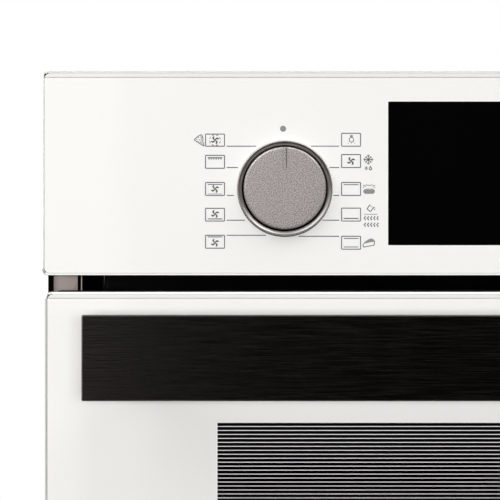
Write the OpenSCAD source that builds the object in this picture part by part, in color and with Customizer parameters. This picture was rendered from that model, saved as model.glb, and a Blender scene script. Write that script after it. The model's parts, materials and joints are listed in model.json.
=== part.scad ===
// Built-in single wall oven, millimetres.
//
// Axes: +X is the user's right, -Y faces the user, +Z is up.
// Origin: on the base plane, at the centre of the overall footprint.
//
// Depth is written as d, the distance behind the front face of the door and
// control panel glass, so y = glass_y + d. The handle and knobs have d < 0.

/* [Front] */
// Width of the control panel glass
front_w = 595; // [592:1:600]
// Height from the base plane to the top edge of the control panel
front_h = 595; // [592:1:600]
// Height of the control panel glass
panel_h = 103; // [100:1:106]
// Gap between the control panel and the door
panel_gap = 8.6; // [6:0.2:10]
// Width of the door's outer glass
door_w = 592; // [588:1:595]
// Thickness of the control panel and outer door glass
glass_t = 4; // [3:0.5:5]

/* [Handle] */
// Length of the flat handle bar
handle_len = 548; // [480:1:560]
// Height of the flat handle bar
handle_h = 41.6; // [30:0.2:46]
// Thickness of the handle bar
handle_t = 5; // [4:0.5:6]
// Distance from the glass to the bar's front face
handle_out = 42; // [38:1:50]
// Drop from the door's top edge to the bar's top edge
handle_drop = 10; // [8:0.1:20]

/* [Controls] */
// Distance of each knob's axis from the oven's centre line
knob_x = 175.1; // [165:0.1:190]
// Height of the knob axes above the control panel's lower edge
knob_rise = 43.9; // [40:0.1:50]
// Radius of the knob's front face
knob_r = 20.7; // [18:0.1:20.9]
// Outer radius of the knurled bezel
bezel_r = 24.1; // [23.8:0.1:26]
// Width of the black display lens
display_w = 246; // [200:1:250]
// Height of the black display lens
display_h = 72.4; // [60:0.2:76]

/* [Cavity] */
// Inner width of the cavity
cavity_w = 470; // [440:1:470]
// Inner height of the cavity
cavity_h = 344; // [300:1:344]
// Inner depth of the cavity
cavity_d = 410; // [410:1:415]

/* [Body] */
// Width across the side panels
body_w = 558; // [556:1:560]
// Height of the body
body_h = 577; // [577:1:580]
// Depth of the body behind the mounting flange
body_d = 545; // [545:1:555]
// Thickness of the sheet metal
sheet = 1; // [0.8:0.1:1.2]

/* [Hidden] */
$fn = 48;

// Depth stations
flange_d = 20;
frame_d = 45;
cavity_front_d = frame_d + sheet;
cavity_back_d = cavity_front_d + cavity_d;
body_back_d = flange_d + sheet + body_d;
upper_back_d = body_back_d - 26;
glass_y = handle_out - (handle_out + body_back_d) / 2;

// Heights
panel_z = front_h - panel_h;
door_z = 7;
door_top = panel_z - panel_gap;
door_h = door_top - door_z;
knob_z = panel_z + knob_rise;
display_z = panel_z + (panel_h - display_h) / 2 - 0.1;
display_mid_z = display_z + display_h / 2;
cavity_z = 88;
cavity_mid_z = cavity_z + cavity_h / 2;
duct_z = 462;
duct_h = 30;
step_z = 495;
handle_z = door_top - handle_drop - handle_h;
handle_mid_z = handle_z + handle_h / 2;
handle_post_x = handle_len / 2 - 28;

// Widths
body_x = body_w / 2;
wall_x = body_x - sheet;
flange_x = front_w / 2 - 4;
edging_x = front_w / 2 - 1.6;
duct_x = wall_x - 9;
horn_x = duct_x + 0.3;

// Shared radii and fits
corner_r = 2.5;
cavity_r = 18;
fit = 0.05;
wire_r = 2;
rung_r = 1.75;
tube_r = 3.4;

// Door body
door_body_x = 277;
door_ledge_x = door_w / 2 - 5.8;
trim_corner_r = 1;
pane_x = 253;
door_back_d = 40;
profile_t = 1.5;
trim_h = 14.5;
trim_top = door_top + 0.8;
profile_z = 20;
profile_top = trim_top - trim_h - 0.3;
hinge_clear_z = 70;
pane_t = 3.2;
middle_d = 19;
inner_d = door_back_d - 0.4 - pane_t;
pane_z = 66;
pane_top = profile_top;

// Hinge: the pivot sits low and forward, so that the door's lower edge clears the base
pivot_d = 16;
pivot_z = 24;
hinge_x = 265;
hinge_pin_r = 3;
arm_half = 2.5;
cheek_in = 3;
cheek_out = 4.5;
nose_r = 8;
drawbar_z = 38;
drawbar_front_d = 26;
spring_front_d = 112;
housing_back_d = 190;
housing_end = 4;
spring_wire = 1.1;
spring_turns = floor((housing_back_d - housing_end - spring_front_d) / spring_wire);

// Controls
bezel_proud = 5;
sleeve_r = 21.7;
sleeve_wall = 0.7;
sleeve_back_d = 34;
spindle_r = 3;
hub_r = 6;
hub_back_d = 25;
crossbar_d = 40;

// Fans
fan_shaft_r = 4;
impeller_r = 84;
ring_r = 96;
ring_lead_x = 18;
ring_lead_z = cavity_mid_z - sqrt(ring_r * ring_r - ring_lead_x * ring_lead_x);
baffle_d = cavity_back_d - 28;
blower_d = 340;
blower_z = 530;
blower_r = 30;
blower_x = 100;

// Cavity fittings
lamp_x = 176;
lamp_z = 392;
vent_d = 300;
vent_r = 10;
wool_r = 20;
post_x = cavity_w / 2 - 2.6;
rung_x = post_x - 3.5;
shelf_rail_r = 2.4;
shelf_rail_x = post_x - wire_r - 0.4 - shelf_rail_r;
rail_gap = shelf_rail_r + rung_r + 0.1;
rail_rise = sqrt(rail_gap * rail_gap - (rung_x - shelf_rail_x) * (rung_x - shelf_rail_x));
levels = [for (i = [0:4]) cavity_z + 42 + i * 58];
rung_gap = 15;
rack_d = [cavity_front_d + 28, cavity_back_d - 42];
shelf_level = levels[3];
tray_level = levels[0];
element_z = cavity_z + cavity_h - 24;
grill_x = 150;
bottom_element_z = cavity_z - sheet - 1.2 - tube_r;

// Cabinet screws: two through each side flange
screw_r = 2.5;
screw_x = 286.5;
screw_z = [150, 450];

// ---------------------------------------------------------------- helpers

// Box between two x, two d and two z values
module block(x, d, z)
    translate([x[0], glass_y + d[0], z[0]])
        cube([x[1] - x[0], d[1] - d[0], z[1] - z[0]]);

// Extrudes an (x, z) outline from depth d0 to d1
module slab(d0, d1)
    translate([0, glass_y + d1, 0]) rotate([90, 0, 0]) linear_extrude(d1 - d0) children();

// Extrudes a (d, z) outline from x0 to x1
module side_slab(x0, x1)
    translate([x0, glass_y, 0]) rotate([90, 0, 90]) linear_extrude(x1 - x0) children();

// Extrudes an (x, d) outline from z0 to z1
module flat_slab(z0, z1)
    translate([0, glass_y, z0]) linear_extrude(z1 - z0) children();

// Cylinder along +Y, from depth d
module y_rod(x, d, z, r, len)
    translate([x, glass_y + d, z]) rotate([-90, 0, 0]) cylinder(h = len, r = r);

// Cylinder along +X, from x
module x_rod(x, d, z, r, len)
    translate([x, glass_y + d, z]) rotate([0, 90, 0]) cylinder(h = len, r = r);

// Turns a (radius, depth) profile about the Y axis through x, z
module y_turned(x, z)
    translate([x, glass_y, z]) rotate([-90, 0, 0]) rotate_extrude($fn = 96) children();

// Rectangle with round corners, centred
module round_rect(w, h, r) {
    square([w - 2 * r, h], center = true);
    square([w, h - 2 * r], center = true);
    for (x = [-1, 1], y = [-1, 1])
        translate([x * (w / 2 - r), y * (h / 2 - r)]) circle(r);
}

module at_2d(x, y) translate([x, y]) children();

// Draws the right-hand version, or its mirror image on the left
module on_side(right) {
    if (right) children();
    else mirror([1, 0, 0]) children();
}

// Heating tube in parallel runs along Y, joined by half turns
module serpentine(xs, d0, d1, z, r) {
    pitch = xs[1] - xs[0];
    for (x = xs) y_rod(x, d0, z, r, d1 - d0);
    for (i = [0:len(xs) - 2]) {
        front = i % 2 == 0;
        translate([(xs[i] + xs[i + 1]) / 2, glass_y + (front ? d0 : d1), z])
            rotate([0, 0, front ? 180 : 0])
                rotate_extrude(angle = 180) at_2d(pitch / 2, 0) circle(r);
    }
}

// Profile of a close-wound coil: a tube whose outside follows the turns
function coil_outline(outer, wire, turns) = concat(
    [[outer - wire, 0]],
    [for (i = [0:turns - 1], a = [0:45:135])
        [outer - wire / 2 + wire / 2 * sin(a), wire * (i + (1 - cos(a)) / 2)]],
    [[outer - wire, wire * turns]]
);

// ---------------------------------------------------------------- controls

module control_panel_glass() color("white") slab(0, glass_t) difference() {
    at_2d(0, panel_z + panel_h / 2) round_rect(front_w, panel_h, corner_r);
    for (x = [-knob_x, knob_x]) at_2d(x, knob_z) circle(sleeve_r + sleeve_wall + 0.2);
    at_2d(-display_w / 2, display_z) square([display_w, display_h]);
}

module display_lens() color("black")
    block([-display_w / 2, display_w / 2], [0, glass_t], [display_z, display_z + display_h]);

// Circuit board with the indicator and touch electronics, clipped behind the lens
module display_module() color("darkgreen") {
    board_x = display_w / 2 - 11;
    board_d = [10, 11.6];
    front_d = glass_t + 0.2;
    block([-board_x, board_x], board_d, [display_z + 4, display_z + display_h - 4]);
    block([-60, 60], [front_d, board_d[0]], [display_mid_z - 16, display_mid_z + 16]);
    for (s = [-1, 1], inset = [20, 36])
        y_rod(s * (board_x - inset), front_d, display_mid_z, 5, board_d[0] - front_d);
    block([-40, 10], [board_d[1], 24], [display_mid_z - 26, display_mid_z - 2]);
    block([30, 70], [board_d[1], 18], [display_mid_z - 24, display_mid_z - 6]);
}

// Plastic tray that carries the glass, the bezels and the display
module panel_carrier() color("dimgray") difference() {
    carrier_x = front_w / 2 - 8;
    depth = [glass_t, flange_d];
    wall = 2;
    rise = [panel_z + 3, front_h - 3];
    block([-carrier_x, carrier_x], depth, rise);
    block([-carrier_x + wall, carrier_x - wall], [glass_t + wall, depth[1] + 1],
        [rise[0] + wall, rise[1] - wall]);
    block([-display_w / 2 + 7, display_w / 2 - 7], [0, 10],
        [display_z + 3, display_z + display_h - 3]);
    for (x = [-knob_x, knob_x]) y_rod(x, 0, knob_z, sleeve_r + sleeve_wall + 0.3, 12);
}

// Bezel with a sleeve that the knob sinks into; its front face is a shallow cone
module bezel(x) color("darkgray") y_turned(x, knob_z) {
    polygon([
        [sleeve_r, -bezel_proud + 1.5], [bezel_r - 0.6, -bezel_proud],
        [bezel_r, -bezel_proud + 0.5], [bezel_r, 0],
        [sleeve_r + sleeve_wall, 0], [sleeve_r + sleeve_wall, sleeve_back_d + 1],
        [spindle_r + 0.6, sleeve_back_d + 1], [spindle_r + 0.6, sleeve_back_d],
        [sleeve_r, sleeve_back_d]
    ]);
}
module function_bezel() bezel(-knob_x);
module temperature_bezel() bezel(knob_x);

// Spindle of the switch or thermostat; the knob's hub slides along its front end
module spindle(x) color("gainsboro") y_rod(x, 1, knob_z, spindle_r, crossbar_d + 30);
module function_spindle() spindle(-knob_x);
module temperature_spindle() spindle(knob_x);

// Knob: a cap with a rounded rim, a skirt, and a hub that slides on the spindle
module knob(x) color("darkgray") difference() {
    front = -bezel_proud + 0.3;
    rim = 1.2;
    skirt = 19;
    wall = 2;
    pointer_r = 0.95;
    pointer_rise = 9.5;
    pointer_depth = 0.9;
    y_turned(x, knob_z) difference() {
        union() {
            at_2d(0, front + rim) square([knob_r, skirt - rim]);
            at_2d(0, front) square([knob_r - rim, skirt]);
            at_2d(knob_r - rim, front + rim) circle(rim, $fn = 32);
            at_2d(0, front) square([hub_r, hub_back_d - front]);
        }
        at_2d(hub_r, front + 3) square([knob_r - hub_r - wall, skirt]);
    }
    y_rod(x, front + 4, knob_z, spindle_r + fit, 40);
    block([x - pointer_r, x + pointer_r], [front - 1, front + pointer_depth],
        [knob_z + pointer_rise, knob_z + knob_r + 1]);
    y_rod(x, front - 1, knob_z + pointer_rise, pointer_r, 1 + pointer_depth);
}
module function_knob() knob(-knob_x);
module temperature_knob() knob(knob_x);

// Springs that push the knobs out; compressed while the knobs are sunk
module knob_springs() color("silver") for (x = [-knob_x, knob_x])
    translate([x, glass_y + hub_back_d + 0.1, knob_z]) rotate([-90, 0, 0])
        rotate_extrude($fn = 48) polygon(coil_outline(5.4, spring_wire, 8));

// Bored body that a spindle turns in, bolted behind the crossbar
module control_body(x, w, h, depth) difference() {
    block([x - w / 2, x + w / 2], [crossbar_d + 2, crossbar_d + 2 + depth],
        [knob_z - h / 2, knob_z + h / 2]);
    y_rod(x, crossbar_d, knob_z, spindle_r + fit, depth + 4);
}

module function_switch() color("ivory") {
    control_body(-knob_x, 44, 46, 38);
    for (z = [-16:8:16], s = [-1, 1])
        block([-knob_x + s * 22 - (s < 0 ? 7 : 0), -knob_x + s * 22 + (s < 0 ? 0 : 7)],
            [crossbar_d + 14, crossbar_d + 14.8], [knob_z + z - 3, knob_z + z + 3]);
}

module thermostat() color("silver") {
    control_body(knob_x, 40, 40, 32);
    y_rod(knob_x + 26, crossbar_d + 10, knob_z, 6, 20);
    block([knob_x + 20, knob_x + 26], [crossbar_d + 14, crossbar_d + 26],
        [knob_z - 4, knob_z + 4]);
}

// Steel bar across the front that holds the switch and the thermostat
module switch_crossbar() color("silver") difference() {
    bar_low = 506;
    bar_top = 566;
    ear_w = 8;
    ear_x = duct_x + ear_w / 2;
    ear_inset = 12;
    union() {
        block([-duct_x - ear_w, duct_x + ear_w], [crossbar_d, crossbar_d + 2], [bar_low, bar_top]);
        block([-duct_x, duct_x], [crossbar_d + 2, crossbar_d + 12], [bar_top - 2, bar_top]);
        for (s = [-1, 1])
            block([s * ear_x - ear_w / 2, s * ear_x + ear_w / 2], [crossbar_d + 2, frame_d],
                [bar_low + ear_inset, bar_top - ear_inset]);
    }
    for (x = [-knob_x, knob_x]) y_rod(x, crossbar_d - 1, knob_z, spindle_r + 2, 5);
    for (x = [-60, 0, 60]) y_rod(x, crossbar_d - 1, (bar_low + bar_top) / 2, 12, 5);
}

// ---------------------------------------------------------------- door

module door_outer_glass() color("white") slab(0, glass_t) difference() {
    at_2d(0, door_z + door_h / 2) round_rect(door_w, door_h, corner_r);
    for (x = [-1, 1], z = [-8, 8])
        at_2d(x * handle_post_x, handle_mid_z + z) circle(3);
}

module pane(d, t, z0, z1) slab(d, d + t)
    at_2d(0, (z0 + z1) / 2) round_rect(2 * pane_x - 1, z1 - z0, corner_r);
module door_middle_glass() color("lightblue") pane(middle_d, pane_t, pane_z, pane_top);
module door_inner_glass() color("lightblue") pane(inner_d, pane_t, pane_z, pane_top);

// Side column of the door, a channel open towards the middle. Its lower back is cut
// away so that the hinge housing can enter.
module door_profile(right) color("dimgray") on_side(right) {
    z = [profile_z, profile_top];
    d = [glass_t, door_back_d - 0.4];
    difference() {
        union() {
            block([pane_x + 1, door_ledge_x], [d[0], d[0] + profile_t], z);
            block([door_body_x - profile_t, door_body_x], d, z);
            block([pane_x + 1, door_body_x], [d[1] - profile_t, d[1]], [hinge_clear_z, z[1]]);
            block([door_ledge_x - profile_t, door_ledge_x], [d[0], 14], z);
        }
        for (vent = [110:28:430])
            block([door_body_x - 3, door_body_x + 1], [14, 30], [vent, vent + 16]);
    }
}
module door_left_profile() door_profile(false);
module door_right_profile() door_profile(true);

// Trim along the top of the door, with slots where the door's cooling air leaves
module door_top_trim() color("black") difference() {
    z = [trim_top - trim_h, trim_top];
    r = trim_corner_r;
    union() {
        block([-door_ledge_x + r, door_ledge_x - r], [glass_t, 15], z);
        block([-door_ledge_x, door_ledge_x], [glass_t, 15], [z[0], z[1] - r]);
        for (s = [-1, 1]) y_rod(s * (door_ledge_x - r), glass_t, z[1] - r, r, 15 - glass_t);
        block([-door_body_x, door_body_x], [14, door_back_d - 0.4], z);
    }
    block([-door_ledge_x + 2, door_ledge_x - 2], [glass_t + 1.6, 13.4], [z[0] - 1, z[1] - 3]);
    block([-door_body_x + 2, door_body_x - 2], [13, door_back_d - 2], [z[0] - 1, z[1] - 2]);
    for (x = [-240:32:240])
        block([x - 12, x + 12], [20, 32], [z[1] - 3, z[1] + 1]);
}

// Channel along the bottom of the door; the inner panes stand in it
module door_bottom_profile() color("dimgray") difference() {
    z = [profile_z + 4, pane_z - 0.4];
    d = [glass_t, door_back_d - 0.4];
    block([-pane_x, pane_x], d, z);
    block([-pane_x - 1, pane_x + 1], [d[0] + profile_t, d[1] - profile_t],
        [z[0] + profile_t, z[1] + 1]);
    for (x = [-220:40:220])
        block([x - 14, x + 14], [12, 30], [z[0] - 1, z[0] + 2]);
}

// Rubber blocks that space the panes; the lower ones stand in the bottom channel
module glass_spacers() color("black") for (x = [-200, 200]) {
    for (z = [[pane_z, pane_z + 24], [pane_top - 24, pane_top]]) {
        block([x - 8, x + 8], [glass_t, middle_d], z);
        block([x - 8, x + 8], [middle_d + pane_t, inner_d], z);
    }
    block([x - 8, x + 8], [glass_t + profile_t, door_back_d - 0.4 - profile_t],
        [profile_z + 4 + profile_t, pane_z]);
}

// Flat extruded bar with a rib behind it that the posts screw to
module handle_bar() color("black") difference() {
    union() {
        slab(-handle_out, -handle_out + handle_t)
            at_2d(0, handle_mid_z) round_rect(handle_len, handle_h, 0.6);
        block([-handle_len / 2 + 8, handle_len / 2 - 8],
            [-handle_out + handle_t, -handle_out + handle_t + 3],
            [handle_mid_z - 12, handle_mid_z + 12]);
    }
    for (x = [-1, 1], z = [-8, 8])
        y_rod(x * handle_post_x, -handle_out + 2, handle_mid_z + z, 2, 10);
}

// Post between the handle bar and the glass
module handle_post(right) color("black") on_side(right) difference() {
    d = [-handle_out + handle_t + 3, 0];
    slab(d[0], d[1]) at_2d(handle_post_x, handle_mid_z) round_rect(16, 30, 4);
    for (z = [-8, 8])
        y_rod(handle_post_x, d[0] - 1, handle_mid_z + z, 2.6, 60);
}
module left_handle_post() handle_post(false);
module right_handle_post() handle_post(true);

// Screws through the glass and the posts into the bar
module handle_screws() color("silver")
    for (x = [-1, 1], z = [-8, 8]) {
        y_rod(x * handle_post_x, -handle_out + 4, handle_mid_z + z, 2, handle_out);
        y_rod(x * handle_post_x, glass_t, handle_mid_z + z, 4.5, 3);
    }

// ---------------------------------------------------------------- hinges

// Arm that turns with the door: an eye on the pin, a lever, and a foot on the profile
module hinge_arm(right) color("silver") on_side(right) {
    side_slab(hinge_x - arm_half, hinge_x + arm_half) difference() {
        union() {
            at_2d(pivot_d, pivot_z) circle(nose_r);
            at_2d(pivot_d - 5, pivot_z) square([10, 126]);
            at_2d(pivot_d, drawbar_z) circle(6.5);
        }
        at_2d(pivot_d, pivot_z) circle(hinge_pin_r + fit);
    }
    block([hinge_x + arm_half, door_body_x - profile_t], [pivot_d - 5, pivot_d + 5], [104, 146]);
}
module left_hinge_arm() hinge_arm(false);
module right_hinge_arm() hinge_arm(true);

// Channel fixed in the body. Its cheeks reach forward to the pivot.
module hinge_housing(right) color("slategray") on_side(right) {
    for (x = [[-cheek_out, -cheek_in], [cheek_in, cheek_out]])
        side_slab(hinge_x + x[0], hinge_x + x[1]) difference() {
            union() {
                at_2d(pivot_d, pivot_z) circle(nose_r);
                at_2d(pivot_d, pivot_z - nose_r) square([housing_back_d - pivot_d, 2 * nose_r]);
                at_2d(frame_d + 5, 14) square([housing_back_d - frame_d - 5, 32]);
            }
            at_2d(pivot_d, pivot_z) circle(hinge_pin_r);
        }
    block([hinge_x - cheek_out, hinge_x + cheek_out], [frame_d + 5, housing_back_d], [12.5, 14]);
    block([hinge_x - cheek_out, hinge_x + cheek_out],
        [housing_back_d - housing_end, housing_back_d], [14, 46]);
}
module left_hinge_housing() hinge_housing(false);
module right_hinge_housing() hinge_housing(true);

module hinge_pins() color("silver") for (right = [false, true]) on_side(right) {
    x_rod(hinge_x - cheek_out - 1, pivot_d, pivot_z, hinge_pin_r, 2 * cheek_out + 2);
    for (x = [-cheek_out - 1, cheek_out]) x_rod(hinge_x + x, pivot_d, pivot_z, 4.5, 1);
}

// Bar that carries the spring's pull to the arm's lever
module hinge_drawbar(right) color("silver") on_side(right) {
    block([hinge_x - 2, hinge_x + 2], [drawbar_front_d, spring_front_d - 6],
        [drawbar_z - 3, drawbar_z + 3]);
    y_rod(hinge_x, spring_front_d - 6, drawbar_z - 8, 1.6, 5);
    block([hinge_x - 2, hinge_x + 2], [spring_front_d - 12, spring_front_d - 6],
        [drawbar_z - 12, drawbar_z]);
}
module left_hinge_drawbar() hinge_drawbar(false);
module right_hinge_drawbar() hinge_drawbar(true);

// Return spring between the drawbar and the end of the housing
module hinge_spring(right) color("silver") on_side(right)
    translate([hinge_x, glass_y + spring_front_d, drawbar_z - 8]) rotate([-90, 0, 0])
        rotate_extrude($fn = 48) polygon(coil_outline(2.9, spring_wire, spring_turns));
module left_hinge_spring() hinge_spring(false);
module right_hinge_spring() hinge_spring(true);

// ---------------------------------------------------------------- front frame and cavity

// Enamelled frame around the cavity mouth, with horns beside the cooling air outlet
module front_frame() color("black") difference() {
    horn_low = 24;
    horn_top = 576;
    bead = 0.5;
    bead_h = 4;
    screw_inset = 33;
    slot_z = 29;
    union() {
        slab(frame_d, cavity_front_d) {
            at_2d(-wall_x, 1) square([2 * wall_x, duct_z - 2]);
            for (s = [-1, 1]) at_2d(s * (wall_x + horn_x - bead) / 2, (horn_low + horn_top) / 2)
                square([wall_x - horn_x + bead, horn_top - horn_low], center = true);
        }
        for (s = [-1, 1])
            block([s * horn_x - bead, s * horn_x + bead], [frame_d - bead_h, frame_d],
                [duct_z, panel_z + 8]);
    }
    slab(frame_d - 1, cavity_front_d + 1)
        at_2d(0, cavity_mid_z) round_rect(cavity_w, cavity_h, cavity_r);
    for (s = [-1, 1]) {
        slab(frame_d - 1, cavity_front_d + 1)
            at_2d(s * hinge_x, slot_z) square([14, 38], center = true);
        for (z = [110, 410])
            y_rod(s * (cavity_w / 2 + screw_inset), frame_d - 1, z, 2, 3);
    }
    for (x = [-200:40:200])
        block([x - 14, x + 14], [frame_d - 1, cavity_front_d + 1], [24, 30]);
}

// Silicone seal around the cavity mouth
module door_seal() color("dimgray") slab(door_back_d + 0.5, frame_d)
    at_2d(0, cavity_mid_z) difference() {
        round_rect(cavity_w + 28, cavity_h + 28, cavity_r + 14);
        round_rect(cavity_w + 10, cavity_h + 10, cavity_r + 5);
    }

// Wrapper of the cavity, with the steam vent's neck on top
module cavity_shell() color("dimgray") difference() {
    union() {
        slab(cavity_front_d, cavity_back_d) at_2d(0, cavity_mid_z)
            round_rect(cavity_w + 2 * sheet, cavity_h + 2 * sheet, cavity_r + sheet);
        translate([0, glass_y + vent_d, cavity_z + cavity_h]) cylinder(h = 34, r = vent_r + sheet);
    }
    slab(cavity_front_d - 1, cavity_back_d + 1)
        at_2d(0, cavity_mid_z) round_rect(cavity_w, cavity_h, cavity_r);
    translate([0, glass_y + vent_d, cavity_z + cavity_h - 5]) cylinder(h = 60, r = vent_r);
}

module cavity_back() color("dimgray") slab(cavity_back_d, cavity_back_d + sheet)
    difference() {
        at_2d(0, cavity_mid_z)
            round_rect(cavity_w + 2 * sheet, cavity_h + 2 * sheet, cavity_r + sheet);
        at_2d(0, cavity_mid_z) circle(fan_shaft_r + 4);
        at_2d(lamp_x, lamp_z) circle(21);
        for (s = [-1, 1]) {
            at_2d(s * ring_lead_x, ring_lead_z) circle(tube_r + 1);
            at_2d(s * grill_x, element_z) circle(tube_r + 1);
        }
    }

// Mineral wool wrapped round the cavity, with a pad behind it
module insulation() color("khaki") difference() {
    wool_w = cavity_w + 44;
    wool_h = cavity_h + 54;
    wool_mid_z = cavity_mid_z - 1;
    union() {
        slab(cavity_front_d + 6, cavity_back_d) at_2d(0, wool_mid_z) difference() {
            round_rect(wool_w, wool_h, wool_r);
            at_2d(0, -2) round_rect(cavity_w + 4, cavity_h + 20, wool_r);
        }
        slab(cavity_back_d + sheet, cavity_back_d + 20)
            at_2d(0, wool_mid_z) round_rect(wool_w, wool_h, wool_r);
    }
    y_rod(0, cavity_back_d - 1, cavity_mid_z, 36, 30);
    y_rod(lamp_x, cavity_back_d - 1, lamp_z, 24, 30);
    for (s = [-1, 1]) {
        y_rod(s * ring_lead_x, cavity_back_d - 1, ring_lead_z, 8, 30);
        for (z = [element_z, bottom_element_z]) y_rod(s * grill_x, cavity_back_d - 1, z, 8, 30);
    }
    translate([0, glass_y + vent_d, cavity_z + cavity_h]) cylinder(h = 60, r = vent_r + 2);
}

// Stamped cover over the fan: a perforated face on a rim with side outlets
module fan_baffle() color("dimgray") difference() {
    w = 300;
    h = 236;
    r = 24;
    ring_step = 13;
    slab(baffle_d, cavity_back_d) at_2d(0, cavity_mid_z) round_rect(w, h, r);
    slab(baffle_d + sheet, cavity_back_d + 1)
        at_2d(0, cavity_mid_z) round_rect(w - 2 * sheet, h - 2 * sheet, r - sheet);
    for (ring = [1:4], i = [0:ring * 8 - 1])
        y_rod(ring * ring_step * cos(i * 45 / ring), baffle_d - 1,
            cavity_mid_z + ring * ring_step * sin(i * 45 / ring), 3, 3);
    for (s = [-1, 1], z = [-78:26:78])
        block([s * w / 2 - 3, s * w / 2 + 3], [baffle_d + 6, cavity_back_d - 4],
            [cavity_mid_z + z - 9, cavity_mid_z + z + 9]);
}

// Radial impeller with its shaft, which runs back through the motor
module fan_impeller() color("gray") {
    blades = 14;
    blade_in = 46;
    blade_t = 1.2;
    difference() {
        y_rod(0, cavity_back_d - 9, cavity_mid_z, impeller_r, 1);
        for (i = [0:5]) y_rod(30 * cos(60 * i), cavity_back_d - 10,
            cavity_mid_z + 30 * sin(60 * i), 6, 3);
    }
    for (i = [0:blades - 1]) translate([0, glass_y + cavity_back_d - 22, cavity_mid_z])
        rotate([0, i * 360 / blades, 0]) translate([blade_in, 0, -blade_t / 2])
            cube([impeller_r - 1 - blade_in, 13.5, blade_t]);
    y_rod(0, cavity_back_d - 20, cavity_mid_z, 10, 12);
    y_rod(0, cavity_back_d - 24, cavity_mid_z, fan_shaft_r, 90);
}

// Shaded-pole motor: laminations, winding and the bracket behind the cavity
module fan_motor() color("silver") difference() {
    union() {
        block([-35, 35], [cavity_back_d + 34, cavity_back_d + 56],
            [cavity_mid_z - 30, cavity_mid_z + 30]);
        block([-24, 24], [cavity_back_d + 30, cavity_back_d + 60],
            [cavity_mid_z - 50, cavity_mid_z - 30]);
        block([-70, 70], [cavity_back_d + 22, cavity_back_d + 24],
            [cavity_mid_z - 24, cavity_mid_z + 24]);
        for (s = [-1, 1])
            block([s * 31 - 1, s * 31 + 1], [cavity_back_d + sheet, cavity_back_d + 22],
                [cavity_mid_z - 12, cavity_mid_z + 12]);
        y_rod(0, cavity_back_d + 24, cavity_mid_z, 14, 46);
    }
    y_rod(0, cavity_back_d + 10, cavity_mid_z, fan_shaft_r + fit, 80);
}

// Round heating element behind the baffle
module ring_element() color("dimgray") {
    translate([0, glass_y + cavity_back_d - 14, cavity_mid_z]) rotate([-90, 0, 0])
        rotate_extrude($fn = 96) at_2d(ring_r, 0) circle(tube_r);
    for (s = [-1, 1]) y_rod(s * ring_lead_x, cavity_back_d - 14, ring_lead_z, tube_r, 44);
}

// Grill tube under the cavity roof, hung from it by two straps
module grill_element() color("dimgray") {
    run_d = [cavity_front_d + 74, cavity_back_d - 70];
    serpentine([for (i = [0:5]) grill_x * (i / 2.5 - 1)], run_d[0], run_d[1], element_z, tube_r);
    for (s = [-1, 1]) y_rod(s * grill_x, run_d[1], element_z, tube_r, 110);
    for (d = [run_d[0] + 20, run_d[1] - 20]) {
        block([-grill_x - 6, grill_x + 6], [d, d + 1.5], [element_z - 2, element_z + 6]);
        for (s = [-1, 1]) block([s * 120 - 6, s * 120 + 6], [d, d + 1.5],
            [element_z + 6, cavity_z + cavity_h]);
    }
}

// Base heating tube under the cavity floor, with a strap that holds it up
module bottom_element() color("dimgray") {
    run_d = [cavity_front_d + 90, cavity_back_d - 60];
    z = bottom_element_z;
    serpentine([for (i = [0:5]) grill_x * (i / 2.5 - 1)], run_d[0], run_d[1], z, tube_r);
    for (s = [-1, 1]) y_rod(s * grill_x, run_d[1], z, tube_r, 100);
    block([-grill_x - 6, grill_x + 6], [run_d[0] + 60, run_d[0] + 72],
        [z + tube_r - 0.4, cavity_z - sheet]);
}

// Chromed wire rack: three posts and pairs of rungs
module shelf_rack(right) color("silver") on_side(right) {
    for (d = [rack_d[0] + 8, (rack_d[0] + rack_d[1]) / 2, rack_d[1] - 8])
        translate([post_x, glass_y + d, cavity_z + 26]) cylinder(h = 276, r = wire_r);
    for (d = [rack_d[0] + 8, rack_d[1] - 8], z = [levels[0] - 8, levels[4] + 23])
        x_rod(post_x, d, z, 1.6, cavity_w / 2 - post_x);
    for (z = levels, gap = [0, rung_gap])
        y_rod(rung_x, rack_d[0], z + gap, rung_r, rack_d[1] - rack_d[0]);
}
module left_shelf_rack() shelf_rack(false);
module right_shelf_rack() shelf_rack(true);

// Wire shelf resting on a pair of rungs
module wire_shelf() color("silver") {
    z = shelf_level + rail_rise;
    d = [cavity_front_d + 20, cavity_back_d - 50];
    for (s = [-1, 1]) y_rod(s * shelf_rail_x, d[0], z, shelf_rail_r, d[1] - d[0]);
    for (cross_d = [d[0] + 3, (d[0] + d[1]) / 2, d[1] - 3])
        x_rod(-shelf_rail_x, cross_d, z, shelf_rail_r - 0.2, 2 * shelf_rail_x);
    for (x = [-210:30:210]) y_rod(x, d[0] + 2, z + 3, 1.5, d[1] - d[0] - 4);
}

// Enamelled tray whose rim rests on a pair of rungs
module baking_tray() color("dimgray") {
    z = tray_level + rung_r + 0.1;
    mid_d = (cavity_front_d + 20 + cavity_back_d - 50) / 2;
    len_d = cavity_back_d - 50 - cavity_front_d - 20;
    dish = [2 * rung_x - 28, len_d - 32, 22];
    wall = 1.5;
    deep = 20;
    flat_slab(z, z + 1.6) at_2d(0, mid_d) difference() {
        round_rect(2 * rung_x + 2, len_d, 16);
        round_rect(dish[0], dish[1], dish[2]);
    }
    flat_slab(z - deep, z) at_2d(0, mid_d) difference() {
        round_rect(dish[0] + 2 * wall, dish[1] + 2 * wall, dish[2] + wall);
        round_rect(dish[0], dish[1], dish[2]);
    }
    flat_slab(z - deep - wall, z - deep)
        at_2d(0, mid_d) round_rect(dish[0] + 2 * wall, dish[1] + 2 * wall, dish[2] + wall);
}

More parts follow.
